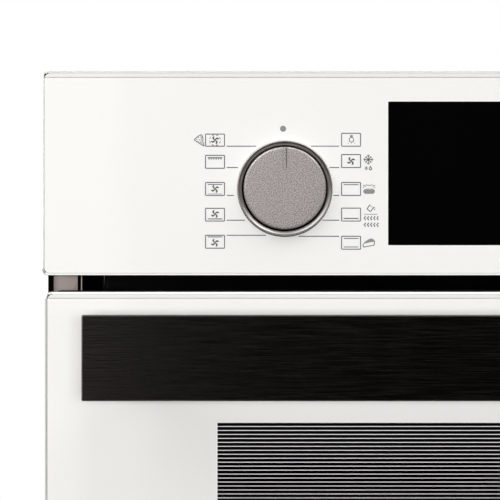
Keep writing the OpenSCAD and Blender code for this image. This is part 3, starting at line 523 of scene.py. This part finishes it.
def build_glass():
    """The panel's pane, the door's pane with its striped window, and the inner glass's black border."""
    knob_holes = [circle(axis.x, axis.z, BEZEL_HOLE_R, HOLE_STEPS)
                  for axis in (function_axis, temperature_axis)]
    display_hole = rectangle(DISPLAY[0].x, DISPLAY[1].x, DISPLAY[0].z, DISPLAY[1].z)
    glass_sheet("control_panel", PANEL, knob_holes + [display_hole], BODY, "control_panel_glass")
    window = rectangle(-WINDOW_X, WINDOW_X, WINDOW_LOW, WINDOW_TOP)
    pane = (DOOR[0], DOOR[1] + Vector((0, 0, DOOR_RISE)))
    glass_sheet("door_front_glass", pane, [], "door", "door_outer_glass", [window], painted_glow_top=True)
    stripes = Shape()
    sides = ((FRONT_Y - INK_PROUD, FRONT_Y + INK_SUNK), (DOOR[1].y - INK_SUNK, DOOR[1].y + INK_PROUD))
    for i in range(STRIPES):
        low = WINDOW_TOP - (i + 1) * STRIPE_PITCH
        for y0, y1 in sides:
            stripes.box((-WINDOW_X, y0, low), (WINDOW_X, y1, low + STRIPE_WHITE))
    stripes.place("window_stripes", "door", white_ink, "white_glass")
    low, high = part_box("door_inner_glass")
    border = Shape()
    outlines = [rounded(low.x + inset, high.x - inset, low.z + inset, high.z - inset, r)
                for inset, r in BORDER]
    border.prism(outlines, high.y - INK_SUNK, high.y + BORDER_PROUD)
    border.place("inner_glass_border", "door", display_black, "clear_glass")


# ------------------------------------------------------------------ printed symbols

PRINT_Y0 = FRONT_Y - 0.04 * MM
PRINT_Y1 = FRONT_Y + 0.02 * MM
PRINT_X = 175.95 * MM

# The rest is in millimetres, as everything that Print draws
PRINT_LINE = 0.46
DIAL_OFFSET = 0.3
DIAL_R = 25.3
ROW_R = 25.2
POSITIONS = 11
SYMBOL_X = 34.27
LINE_END = 28.3
BOX_W = 9.55
BOX_H = 6.5
BOX_CORNER = 0.27           # more than half of PRINT_LINE, or the box's inner outline turns over
BAR_W = 7.35
BAR_Z = 2.15
DOT_Z = 30
DOT_R = 1.55


class Print:
    """Draws in millimetres about a centre, as thin flat ink on the glass."""

    def __init__(self, x, z):
        self.strokes = Shape()
        self.fills = Shape()
        self.x = x
        self.z = z

    def _at(self, points, x, z):
        return [(self.x + (px + x) * MM, self.z + (pz + z) * MM) for px, pz in points]

    def line(self, points, x=0.0, z=0.0, width=PRINT_LINE, closed=False, pale=False):
        wide = [w * MM for w in width] if isinstance(width, (list, tuple)) else width * MM
        shape = self.fills if pale else self.strokes
        shape.ribbon(self._at(points, x, z), wide, PRINT_Y0, PRINT_Y1, closed=closed)

    def area(self, points, x=0.0, z=0.0, pale=True):
        shape = self.fills if pale else self.strokes
        shape.prism([self._at(points, x, z)], PRINT_Y0, PRINT_Y1)

    def dot(self, x, z, r):
        self.area(circle(0, 0, r, 20 if r < 1 else 40), x, z)

    def fan(self, x, z):
        """A pinwheel of four hooked blades."""
        blade = [(0.1, 0.1), (0.6, 0.75), (1.2, 0.95), (1.9, 0.5)]
        for _ in range(4):
            self.line(blade, x, z, (0.45, 0.75, 0.85, 0.55))
            blade = [(-pz, px) for px, pz in blade]

    def bar(self, x, z, thick=0.42, pale=False):
        self.area(rectangle(-BAR_W / 2, BAR_W / 2, -thick / 2, thick / 2), x, z, pale)

    def place(self, name):
        self.strokes.place(name + "_lines", BODY, print_dark, "white_glass")
        if self.fills.faces:
            self.fills.place(name + "_fills", BODY, print_grey, "white_glass")


# (box side, row) -> how far the box's lower edge, its upper edge and its line are moved
BOX_SHIFTS = {(-1, 1): (0, -0.4, 0), (-1, 2): (-0.38, -0.38, 0), (-1, 4): (0, -0.1, 0.4),
              (-1, 5): (0.5, 0.5, 0.5), (1, 4): (0, 0, 0.4)}


def symbol_boxes(ink):
    """Draws the ruled lines that lead from the dial to the boxes; gives each box's centre."""
    centres = {}
    for side in (-1, 1):
        for k in range(1, 6):
            low_by, high_by, line_by = BOX_SHIFTS.get((side, k), (0, 0, 0))
            row = ROW_R * math.cos(2 * math.pi * k / POSITIONS)
            z = row + line_by
            near = DIAL_OFFSET + side * math.sqrt(DIAL_R ** 2 - z ** 2)
            ink.line([(near, z), (side * LINE_END, z)])
            low = row + low_by - (BOX_H if k == 5 else 0)
            high = row + high_by + (0 if k == 5 else BOX_H)
            outline = rounded(-BOX_W / 2, BOX_W / 2, low, high, BOX_CORNER, 3)
            ink.line(outline, side * SYMBOL_X, 0, closed=True)
            centres[side, k] = (side * SYMBOL_X, (low + high) / 2)
    return centres


def pizza(ink, x, z):
    """A slice with a thin crust and toppings, left of the first box."""
    ink.line([(-10.5, 0.1), (-9.9, 0.85), (-8.95, 1.65), (-7.9, 2.3), (-6.65, 2.8)], x, z, 0.4)
    ink.line([(-6.65, 2.8), (-6.05, 1.1), (-6.2, -0.5), (-5.5, -3.1)], x, z, 0.4)
    ink.line([(-7.3, 2.2), (-6.85, 0.8), (-7.0, -0.7), (-6.4, -2.3)], x, z, 0.35, pale=True)
    ink.line([(-10.5, 0.1), (-5.5, -3.1)], x, z, 0.4)
    for dx, dz in ((-9.2, 0.4), (-8.4, 1.3), (-7.8, 0.2), (-8.6, -0.6), (-7.5, -1.1), (-6.5, 1.5)):
        ink.dot(x + dx, z + dz, 0.32)


def snowflake(ink, x, z):
    """Eight-branched frost sign over two drops."""
    for k in range(8):
        a = math.radians(45 * k)
        c, s = math.cos(a), math.sin(a)
        reach = 1.75 if k % 2 else 2.5
        ink.line([(0, 0), (reach * c, reach * s)], x, z, 0.36)
        if k % 2:
            ink.dot(x + 1.7 * c, z + 1.7 * s, 0.45)
        else:
            for side in (-0.6, 0.6):
                ink.line([(1.5 * c, 1.5 * s), (2.1 * c - side * s, 2.1 * s + side * c)], x, z, 0.36)
    drop = [(0, 1.0), (-0.55, 0.1), (-0.7, -0.45), (0, -1.0), (0.7, -0.45), (0.55, 0.1)]
    for dx, dz, size in ((-1.05, -4.3, 0.72), (1.05, -4.35, 0.95)):
        ink.line([(size * px, size * pz) for px, pz in drop], x + dx, z + dz, 0.4, closed=True)


def loaf(ink, x, z):
    """A loaf with slashes, and rising heat over it."""
    ends = circle(-1.75, -0.4, 1.2, 8, 90, 180) + circle(1.75, -0.4, 1.2, 8, 270, 180)
    bumps = [(1.35, 1.35), (1.0, 0.3), (0.6, 1.5), (0.25, 0.3), (-0.2, 1.5), (-0.55, 0.3),
             (-1.0, 1.4), (-1.4, 0.7)]
    ink.area(ends + bumps, x, z)
    heat = [(-1.8, 3.1), (-0.9, 2.75), (0.0, 2.6), (0.9, 2.75), (1.8, 3.1)]
    ink.line(heat, x, z, (0.3, 0.4, 0.5, 0.4, 0.3), pale=True)
    for side in (-1, 1):
        ink.line([(side * 2.9, 2.7), (side * 1.7, 2.1)], x, z, 0.4)
        ink.dot(x + side * 2.85, z + 1.6, 0.3)


def steaming_dish(ink, x, z):
    """A tilted dish over a line, with rows of rising steam under it."""
    ink.line([(9.5, 5.0), (8.85, 4.1), (8.05, 2.85)], x, z, 0.46)
    ink.line([(8.05, 2.85), (9.73, 1.49)], x, z, 0.46)
    ink.line([(9.73, 1.49), (11.02, 3.09), (11.79, 3.86)], x, z, 0.46)
    for dx, dz, r in ((10.0, 4.2, 0.32), (10.65, 3.8, 0.26), (11.92, 2.58, 0.34)):
        ink.dot(x + dx, z + dz, r)
    ink.line([(6.52, 0.14), (13.2, 0.14)], x, z, 0.36, pale=True)
    for top in (-0.8, -4.1):
        for k in range(5):
            wave = [(0.36 * math.sin(t * math.pi / 2), -0.34 * t) for t in range(7)]
            ink.line(wave, x + 6.9 + 1.6 * k, z + top, 0.42)


def function_symbols():
    """The dot over the function knob, the boxes with their signs, and the small pictures beside them."""
    ink = Print(-PRINT_X, function_axis.z)
    ink.dot(0, DOT_Z, DOT_R)
    centres = symbol_boxes(ink)

    x, z = centres[-1, 1]
    ink.fan(x, z)
    for k in range(8):
        ink.line(circle(0, 0, 2.7, 4, k * 45 + 8, 26), x, z, 0.34)
    pizza(ink, x, z)

    x, z = centres[-1, 2]
    ink.bar(x, z + BAR_Z - 0.1, 0.75, True)
    for k in range(6):
        ink.area([(-0.48, 0), (0.48, 0), (0, -0.85)], x - 3.0 + k * 1.2, z + BAR_Z - 0.45)

    x, z = centres[-1, 3]
    ink.fan(x, z)
    ink.bar(x, z + 2.25)
    ink.bar(x, z - 2.5, 0.3, True)

    x, z = centres[-1, 4]
    ink.fan(x, z + 0.34)
    ink.bar(x, z - BAR_Z, 0.5)

    x, z = centres[-1, 5]
    ink.fan(x, z - 0.54)
    ink.bar(x, z + BAR_Z + 0.3, 0.6, True)

    x, z = centres[1, 1]
    ink.area(rectangle(-0.45, 0.85, 1.3, 2.4), x, z)
    bulb = [(-0.35, 1.2), (-0.85, 0.4), (-0.85, -0.7), (0.2, -1.25), (1.25, -0.7), (1.25, 0.4), (0.75, 1.2)]
    ink.line(bulb, x, z, 0.38, closed=True)
    for dx in (-1.2, 0.2, 1.6):
        ink.line([(dx, -1.5), (dx * 1.15, -2.1)], x, z, 0.28, pale=True)

    x, z = centres[1, 2]
    ink.fan(x, z)
    snowflake(ink, x + 8.7, z + 0.75)

    x, z = centres[1, 3]
    ink.bar(x, z + BAR_Z)
    loaf(ink, x + 9.07, z - 0.85)

    x, z = centres[1, 4]
    ink.bar(x, z - BAR_Z + 0.2, 0.5)
    steaming_dish(ink, x, z)

    x, z = centres[1, 5]
    ink.bar(x, z + BAR_Z)
    ink.bar(x, z - BAR_Z)
    side = [(-2.9, -0.75), (-2.7, -2.35), (2.7, -1.3), (3.0, 0.7)]
    for a, b in zip(side, side[1:]):
        ink.line([a, b], x + 8.9, z + 0.1, 0.4)
    wedge = [(-3.0, -0.75), (-1.6, 0.7), (0.2, 1.75), (1.4, 2.1), (2.4, 1.6), (3.1, 0.7), (2.6, 0.4),
             (0.5, 0.1), (-1.5, -0.4)]
    ink.area(wedge, x + 8.9, z + 0.1)
    ink.place("function_symbols")


SCALE_START = 30            # degrees clockwise from the dot
SCALE_TURN = 270
TICKS = 11
TICK_R = 26.2
LONG_TICK = 2.6
SHORT_TICK = 1.4
NUMBERS = range(50, 300, 50)
NUMBER_R = 33
NUMBER_SIZE = 4.2
NUMBER_PROUD = 0.01
NUMBER_THICK = 0.03


def scale_angle(step, steps):
    return math.radians(90 - SCALE_START - SCALE_TURN * step / steps)


def temperature_symbols():
    """Scale of the thermostat: a dot at off, ticks and numbers."""
    ink = Print(PRINT_X, temperature_axis.z)
    ink.dot(0, DOT_Z, DOT_R)
    for k in range(TICKS):
        angle = scale_angle(k, TICKS - 1)
        c, s = math.cos(angle), math.sin(angle)
        end = TICK_R + (LONG_TICK if k % 2 == 0 else SHORT_TICK)
        ink.line([(TICK_R * c, TICK_R * s), (end * c, end * s)])
    ink.place("temperature_scale")
    for number in NUMBERS:
        angle = scale_angle(number - NUMBERS[0], NUMBERS[-1] - NUMBERS[0])
        curve = bpy.data.curves.new("number", "FONT")
        curve.body = str(number)
        curve.size = NUMBER_SIZE * MM
        curve.align_x = "CENTER"
        curve.align_y = "CENTER"
        curve.extrude = NUMBER_THICK * MM
        curve.materials.append(print_dark)
        words = bpy.data.objects.new(f"temperature_{number}", curve)
        bpy.context.scene.collection.objects.link(words)
        reach = NUMBER_R * MM
        words.location = (PRINT_X + reach * math.cos(angle), FRONT_Y - NUMBER_PROUD * MM,
                          temperature_axis.z + reach * math.sin(angle))
        words.rotation_euler = (math.pi / 2, 0, 0)
        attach(words, BODY)


# ------------------------------------------------------------------ controls

BEZEL_BORE_R = 21.7 * MM
BEZEL_WALL = 0.6 * MM       # thickness of the tube that goes back through the pane
BEZEL_TUBE = 20 * MM
KNURLS = 120
KNURL_STEPS = 4             # two steps on a tooth and two in a groove
KNURL_DEPTH = 0.35 * MM
KNURL_REACH = 0.1 * MM      # how far in from the rim the knurling takes hold
SEAL_TRIM = 0.1 * MM
SEAL_PROUD = 0.4 * MM
SEAL_SHADOW_DROP = 0.5 * MM        # the seal is set this much low, so that its dark crescent under the bezel paints the bezel's shadow


def build_bezel(name, node, axis):
    """Bezel with a finely knurled rim and a shallow cone that leads in to the knob, and a dark seal set low
    as a painted shadow under it.
    """
    low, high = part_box(node)
    outer = (high.x - low.x) / 2
    proud = FRONT_Y - low.y
    centre = Vector((axis.x, FRONT_Y, axis.z))
    inner = BEZEL_BORE_R
    hole = inner + BEZEL_WALL
    profile = [
        (inner, BEZEL_TUBE), (inner, -proud + 1.5 * MM), (inner + 0.2 * MM, -proud + 1.25 * MM),
        (outer - 1.0 * MM, -proud + 0.1 * MM), (outer - 0.8 * MM, -proud),
        (outer - 0.55 * MM, -proud + 0.1 * MM), (outer, -proud + 0.9 * MM), (outer, -0.5 * MM),
        (outer - 0.5 * MM, 0), (hole, 0), (hole, BEZEL_TUBE), (inner, BEZEL_TUBE),
    ]

    def knurled(r, k):
        in_groove = k % KNURL_STEPS >= KNURL_STEPS / 2
        return r - (KNURL_DEPTH if r > outer - KNURL_REACH and in_groove else 0)

    shape = Shape()
    shape.lathe(profile, centre, steps=KNURLS * KNURL_STEPS, radius=knurled, capped=False)
    ring = shape.place(name, BODY, bezel_metal, "bezel_metal", smooth=28, replaces=[node])
    ring.visible_shadow = False
    # painted shadow: a dark seal ring moved down, so that a crescent of it shows under the bezel
    shadow_seal = Shape()
    rim = outer - SEAL_TRIM
    around = [(hole, -SEAL_PROUD), (rim, -SEAL_PROUD), (rim, SEAL_TRIM), (hole, SEAL_TRIM),
              (hole, -SEAL_PROUD)]
    shadow_seal.lathe(around, centre - Vector((0, 0, SEAL_SHADOW_DROP)), capped=False)
    shadow_seal.place(name + "_seal", BODY, silicone, "silicone")


KNOB_RIM = 1.2 * MM
KNOB_SKIRT = 19 * MM
KNOB_WALL = 2 * MM
KNOB_FACE_T = 3 * MM
HUB_R = 6 * MM
HUB_BORE_R = 3.1 * MM
HUB_BORE_START = 4 * MM
KNOB_SHARP = 30             # degrees
AXIS_R = 0.02 * MM          # the turned face stops this close to the axis, so that it has no pinched point
GROOVE_W = 2.2 * MM
GROOVE_END = 9.8 * MM       # from the axis
GROOVE_DEPTH = 0.7 * MM
CUTTER_SPARE = 2 * MM
GROOVE_SHADE_W = 0.45 * MM


def build_knob(name, node, body, axis):
    """Knob cap with a rounded rim, a groove with painted shade along its right wall, a skirt and a hub."""
    low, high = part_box(node)
    r = (high.x - low.x) / 2
    front = low.y
    centre = (axis.x, front, axis.z)
    rim_steps = 8
    angles = [math.pi / 2 * i / rim_steps for i in range(rim_steps + 1)]
    curve = [(r - KNOB_RIM + KNOB_RIM * math.sin(a), KNOB_RIM - KNOB_RIM * math.cos(a)) for a in angles]
    profile = [(AXIS_R, 0), (r * 0.5, 0)] + curve + [
        (r, KNOB_SKIRT), (r - KNOB_WALL, KNOB_SKIRT), (r - KNOB_WALL, KNOB_FACE_T), (HUB_R, KNOB_FACE_T),
        (HUB_R, high.y - front), (HUB_BORE_R, high.y - front), (HUB_BORE_R, HUB_BORE_START),
        (AXIS_R, HUB_BORE_START),
    ]
    shape = Shape()
    shape.lathe(profile, centre, steps=128)
    knob = shape.place(name, body, knob_metal, "knob_metal", smooth=KNOB_SHARP, replaces=[node])
    cutter = Shape()
    half = GROOVE_W / 2
    outline = circle(axis.x, axis.z + GROOVE_END, half, 16, 180, 180)
    outline += [(axis.x + half, axis.z + r + CUTTER_SPARE), (axis.x - half, axis.z + r + CUTTER_SPARE)]
    cutter.prism([outline], front - CUTTER_SPARE, front + GROOVE_DEPTH)
    tool = cutter.place(name + "_cutter", body, knob_metal)
    cut = knob.modifiers.new("groove", "BOOLEAN")
    cut.object = tool
    cut.solver = "EXACT"
    bpy.context.view_layer.update()
    made = bpy.data.meshes.new_from_object(knob.evaluated_get(bpy.context.evaluated_depsgraph_get()))
    knob.modifiers.clear()
    knob.data = made
    made.set_sharp_from_angle(angle=math.radians(KNOB_SHARP))
    bpy.data.objects.remove(tool)
    # painted shade: a dark strip inside the groove's right wall, the side that the light leaves in shade
    groove_shade = Shape()
    top = axis.z + r - 0.8 * MM
    groove_shade.box((axis.x + half - GROOVE_SHADE_W, front + 0.15 * MM, axis.z + GROOVE_END),
                (axis.x + half + 0.05 * MM, front + GROOVE_DEPTH + 0.1 * MM, top))
    groove_shade.place(name + "_pointer", body, groove_shade_paint, "knob_metal")


# ------------------------------------------------------------------ handle


BAR_CHAMFER = 0.55 * MM
BAR_T = 5 * MM
BAR_CORNER = 0.7 * MM
BAR_CORNER_SHRINK = 0.6
RIB_INSET = 8 * MM
RIB_HALF = 12 * MM
RIB_SUNK = 0.2 * MM


def build_handle():
    """Flat extruded bar with small chamfers, and the rib behind it."""
    low, high = HANDLE
    shape = Shape()

    def level(inset, y):
        r = BAR_CORNER - inset * BAR_CORNER_SHRINK
        outline = rounded(low.x + inset, high.x - inset, low.z + inset, high.z - inset, r, 5)
        return shape.loop((x, y, z) for x, z in outline)

    face = level(BAR_CHAMFER, low.y)
    edge = level(0, low.y + BAR_CHAMFER)
    edge_end = level(0, low.y + BAR_T - BAR_CHAMFER)
    rear = level(BAR_CHAMFER, low.y + BAR_T)
    shape.fill([face])
    shape.bridge(face, edge, 1)
    shape.bridge(edge, edge_end)
    shape.bridge(edge_end, rear)
    shape.fill([rear])
    mid = (low.z + high.z) / 2
    shape.box((low.x + RIB_INSET, low.y + BAR_T - RIB_SUNK, mid - RIB_HALF),
              (high.x - RIB_INSET, high.y, mid + RIB_HALF))
    shape.place("handle", "door", [black_handle, bar_edge], "black_handle", replaces=["handle_bar"])


# ------------------------------------------------------------------ casing details


SCREW_R = 4 * MM


def screw_head(shape, x, y, z, axis, out):
    """Pan head standing out of a sheet, towards +axis where out is 1 and towards -axis where it is -1."""
    r = SCREW_R
    profile = [(0.1 * MM, 2.2 * MM * out), (r * 0.6, 2.1 * MM * out), (r * 0.92, 1.5 * MM * out),
               (r, 0.6 * MM * out), (r, -0.3 * MM * out)]
    shape.lathe(profile, (x, y, z), axis=axis, steps=24)


FLANGE_Y = FRONT_Y + 20 * MM        # front face of the side panels' flanges
FRAME_Y = FRONT_Y + 45 * MM         # front of the enamelled frame's sheet; its bead is 4 mm nearer
FLANGE_LOW = 60 * MM
SHIELD_LOW = 455 * MM
# Painted highlight: a bright tapered sliver on the frame's bead, wide at the top and narrowing to a point
# below
GLINT_X = 268.9 * MM
GLINT_Z = (486.5 * MM, 500 * MM)
GLINT_HALF = (0.06 * MM, 0.5 * MM)   # half widths at the lower and upper end
GLINT_Y = (-4.4 * MM, -3.9 * MM)


def build_flange_trim():
    """Edging of each side flange, partly a trim and partly painted shadow; black strips of painted shadow
    on its joint and lip and over the frame; a painted highlight on its fold; and a tapered painted
    highlight on the frame's bead.
    """
    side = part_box("right_side_panel")
    horn_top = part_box("front_frame")[1].z
    flange_z = (FLANGE_LOW, side[1].z)
    shield_z = (SHIELD_LOW, horn_top - 2 * MM)

    def strip(name, material, slot, *blocks):
        """One box on each side for each block: X in millimetres, and Y and Z in metres."""
        shape = Shape()
        for s in (-1, 1):
            for (x0, x1), y, z in blocks:
                x = sorted((s * x0 * MM, s * x1 * MM))
                shape.box((x[0], y[0], z[0]), (x[1], y[1], z[1]))
        shape.place(name, BODY, material, slot)

    thin = (FLANGE_Y - 0.35 * MM, FLANGE_Y + 0.2 * MM)
    # black edging of each flange: partly a trim, partly painted shadow on the folded-back edge
    strip("flange_edging_and_shadow", painted_shadow_black, "black_plastic",
          ((293.45, 295.98), (FLANGE_Y - 3.1 * MM, FLANGE_Y + 1.1 * MM),
           (flange_z[0] - 0.1 * MM, flange_z[1] + 0.1 * MM)))
    # painted shadow: black strips in the joint and by the lip of each flange
    strip("flange_joint_shadow", painted_shadow_black, "silicone", ((279.4, 281.1), thin, flange_z))
    strip("flange_lip_shadow", painted_shadow_black, "black_plastic", ((277.9, 278.88), thin, flange_z))
    # painted shade: a black sheet over the frame's enamel, which lies in shade in the gap
    strip("frame_shade_sheet", painted_shadow_black, "black_enamel",
          ((270.0, 277.8), (FRAME_Y - 0.3 * MM, FRAME_Y + 0.1 * MM), shield_z),
          ((277.7, 278.1), (FLANGE_Y, FRAME_Y + 0.1 * MM), shield_z))
    # painted highlight: a bright strip on each flange's fold
    strip("flange_fold_highlight", fold_painted_highlight, "galvanised",
          ((278.9, 279.4), (FLANGE_Y - 0.3 * MM, FLANGE_Y + 0.2 * MM), flange_z))

    # painted highlight narrowing down each side of the frame's bead
    bead_glint = Shape()
    for s in (-1, 1):
        x = s * GLINT_X
        outline = [(x - GLINT_HALF[1], GLINT_Z[1]), (x + GLINT_HALF[1], GLINT_Z[1]),
                   (x + GLINT_HALF[0], GLINT_Z[0]), (x - GLINT_HALF[0], GLINT_Z[0])]
        bead_glint.prism([outline], FRAME_Y + GLINT_Y[0], FRAME_Y + GLINT_Y[1])
    bead_glint.place("frame_bead_glint", BODY, zinc_steel, "zinc_steel")


CASING_X = 279 * MM
# In millimetres: half length and half height of a rib, and the places of the ribs and the screws
RIB_SIZE = (95, 7)
RIB_Z = (110, 400)
RIB_Y = (-150, 150)
RIB_PROUD = 0.9 * MM
RIB_IN = 0.3 * MM
EDGE_SCREW_Z = (90, 250, 450)
EDGE_SCREW_IN = 12 * MM
TOP_SCREW_Y = (-190, 0, 190)
TOP_SCREW_Z = 560 * MM
BACK_SCREW_X = (-260, 0, 260)
BACK_SCREW_Z = (12, 480)
PLATE = (130 * MM, 230 * MM, 340 * MM, 400 * MM)
PLATE_CORNER = 4 * MM


def build_casing():
    """Pressed ribs, screws and a blank rating plate on the galvanised casing."""
    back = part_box("body_covers")
    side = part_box("right_side_panel")
    ribs = Shape()
    screws = Shape()
    for s in (-1, 1):
        x = s * CASING_X
        x0, x1 = sorted((x - s * RIB_IN, x + s * RIB_PROUD))
        for z in RIB_Z:
            for y in RIB_Y:
                ribs.box((x0, (y - RIB_SIZE[0]) * MM, (z - RIB_SIZE[1]) * MM),
                         (x1, (y + RIB_SIZE[0]) * MM, (z + RIB_SIZE[1]) * MM))
        for z in EDGE_SCREW_Z:
            screw_head(screws, x, side[1].y - EDGE_SCREW_IN, z * MM, "x", s)
        for y in TOP_SCREW_Y:
            screw_head(screws, x, y * MM, TOP_SCREW_Z, "x", s)
    ribs.place("side_ribs", BODY, galvanised, "galvanised")
    for x in BACK_SCREW_X:
        for z in BACK_SCREW_Z:
            screw_head(screws, x * MM, back[1].y, z * MM, "y", 1)
    screws.place("casing_screws", BODY, zinc_steel, "zinc_steel", smooth=40)
    plate = Shape()
    plate.prism([rounded(*PLATE, PLATE_CORNER)], back[1].y - 0.2 * MM, back[1].y + 0.5 * MM)
    plate.place("rating_plate", BODY, rating_foil, "galvanised")


# ------------------------------------------------------------------ stage, light and camera

CAMERA_X = -192.6 * MM
CAMERA_Z = 504.8 * MM
CAMERA_DISTANCE = 1.0
FIELD = 0.2519              # width in metres that the camera sees at the front's plane
SENSOR = 36

FLOOR_R = 2.4
FLOOR_T = 0.02
ROOM = 0.05                 # strength of the room's light
ROOM_TINT = (1.0, 0.985, 0.97, 1)
# Direction's height and depth between which the room's light rises from DARK to full
DARK = 0.05
ROOM_HEIGHT = (-0.45, 0.25)
ROOM_DEPTH = (-0.97, -0.80)
LIT = (-0.19, -0.262, 0.48)         # the corner of the front that the photograph shows
# Name, place, aim, size, power, tint and kind of each light. "gloss" lights only show in reflections and
# "soft" ones never do.
LIGHTS = [
    ("left_soft", (-1.921, -1.704, 1.778), LIT, (2.2, 2.2), 11.7, 1.0, "both"),
    ("left_high", (-1.419, -1.287, 2.529), LIT, (2.2, 2.2), 31.9, 1.0, "both"),
    ("right_high", (1.158, -0.801, 2.637), LIT, (1.6, 1.6), 38.0, 1.0, "both"),
    ("front_left", (-1.939, -2.448, 0.546), LIT, (1.3, 0.45), 8.0, 1.0, "soft"),
    ("front", (-0.19, -3.061, 0.564), LIT, (1.3, 0.45), 47.5, 0.982, "soft"),
    ("front_right", (1.559, -2.448, 0.546), LIT, (1.3, 0.45), 3.7, 1.0, "soft"),
    ("glow_high", (-0.60, -3.26, 0.76), (-0.60, -0.26, 0.76), (0.3, 0.86), 0.76, 0.93, "gloss"),
    ("glow_low", (-0.68, -3.26, 0.12), (-0.68, -0.26, 0.12), (0.3, 0.42), 0.57, 0.85, "gloss"),
    ("side_right", (2.6, 0.9, 1.2), (0.2, 0.1, 0.3), (1.6, 1.6), 42, 1.0, "both"),
    ("side_left", (-2.6, 0.9, 1.2), (-0.2, 0.1, 0.3), (1.6, 1.6), 42, 1.0, "both"),
    ("back", (0.3, 2.8, 1.4), (0, 0.2, 0.3), (2.0, 1.6), 52, 1.0, "both"),
]


def area_light(name, at, aim, size, power, color):
    data = bpy.data.lights.new(name, "AREA")
    data.shape = "RECTANGLE"
    data.size, data.size_y = size
    data.energy = power
    data.color = color
    light = bpy.data.objects.new(name, data)
    light.location = at
    light.rotation_euler = (Vector(aim) - Vector(at)).to_track_quat("-Z", "Y").to_euler()
    bpy.context.scene.collection.objects.link(light)
    return light


def build_floor():
    """A round pale floor, which reflections and bounced light leave out."""
    floor = Shape()
    floor.lathe([(0.01, 0), (FLOOR_R, 0), (FLOOR_R, -FLOOR_T), (0.01, -FLOOR_T)], (0, 0, 0), axis="z")
    mesh = bpy.data.meshes.new("floor")
    mesh.from_pydata(floor.verts, [], floor.faces)
    mesh.materials.append(surface("floor_paint", (0.80, 0.80, 0.79), 0.7, grain=8, shade=0.01))
    ground = bpy.data.objects.new("floor", mesh)
    bpy.context.scene.collection.objects.link(ground)
    ground.visible_glossy = False
    ground.visible_diffuse = False


def build_world():
    """White behind the oven, and a weak room light that fades low down and straight in front."""
    world = bpy.data.worlds.new("studio")
    world.use_nodes = True
    nodes, links = world.node_tree.nodes, world.node_tree.links

    def rise(source, span):
        node = nodes.new("ShaderNodeMapRange")
        node.interpolation_type = "SMOOTHSTEP"
        ends = (("From Min", span[0]), ("From Max", span[1]), ("To Min", DARK), ("To Max", 1.0))
        for key, value in ends:
            node.inputs[key].default_value = value
        links.new(source, node.inputs["Value"])
        return node.outputs["Result"]

    direction = nodes.new("ShaderNodeTexCoord")
    split = nodes.new("ShaderNodeSeparateXYZ")
    links.new(direction.outputs["Generated"], split.inputs["Vector"])
    height = rise(split.outputs["Z"], ROOM_HEIGHT)
    front = rise(split.outputs["Y"], ROOM_DEPTH)
    strength = nodes.new("ShaderNodeMath")
    strength.operation = "MULTIPLY"
    links.new(height, strength.inputs[0])
    links.new(front, strength.inputs[1])
    room = nodes.new("ShaderNodeMath")
    room.operation = "MULTIPLY"
    room.inputs[1].default_value = ROOM
    links.new(strength.outputs["Value"], room.inputs[0])
    dim = nodes["Background"]
    dim.inputs["Color"].default_value = ROOM_TINT
    links.new(room.outputs["Value"], dim.inputs["Strength"])
    bright = nodes.new("ShaderNodeBackground")
    bright.inputs["Color"].default_value = (1, 1, 1, 1)
    bright.inputs["Strength"].default_value = 1.0
    path = nodes.new("ShaderNodeLightPath")
    mix = nodes.new("ShaderNodeMixShader")
    links.new(path.outputs["Is Camera Ray"], mix.inputs["Fac"])
    links.new(dim.outputs["Background"], mix.inputs[1])
    links.new(bright.outputs["Background"], mix.inputs[2])
    links.new(mix.outputs["Shader"], nodes["World Output"].inputs["Surface"])
    bpy.context.scene.world = world


def build_lights():
    for name, at, aim, size, power, tint, kind in LIGHTS:
        light = area_light(name, at, aim, size, power, (1, tint, tint * tint))
        light.visible_camera = False
        light.visible_diffuse = kind != "gloss"
        light.visible_glossy = kind != "soft"


def build_camera():
    """Straight in front of the oven's upper left corner, as in the photograph."""
    data = bpy.data.cameras.new("camera")
    data.sensor_width = SENSOR
    data.lens = SENSOR * CAMERA_DISTANCE / FIELD
    camera = bpy.data.objects.new("camera", data)
    camera.location = (CAMERA_X, FRONT_Y - CAMERA_DISTANCE, CAMERA_Z)
    camera.rotation_euler = (math.pi / 2, 0, 0)
    bpy.context.scene.collection.objects.link(camera)
    bpy.context.scene.camera = camera
    bpy.context.scene.view_settings.view_transform = "Standard"


build_camera()
build_floor()
build_world()
build_lights()
dress_cad_nodes()
paint_air_gap()
build_glass()
function_symbols()
temperature_symbols()
build_bezel("function_bezel_ring", "function_bezel", function_axis)
build_bezel("temperature_bezel_ring", "temperature_bezel", temperature_axis)
build_knob("function_knob_cap", "function_knob", "function_knob_body", function_axis)
build_knob("temperature_knob_cap", "temperature_knob", "temperature_knob_body", temperature_axis)
build_handle()
build_flange_trim()
build_casing()
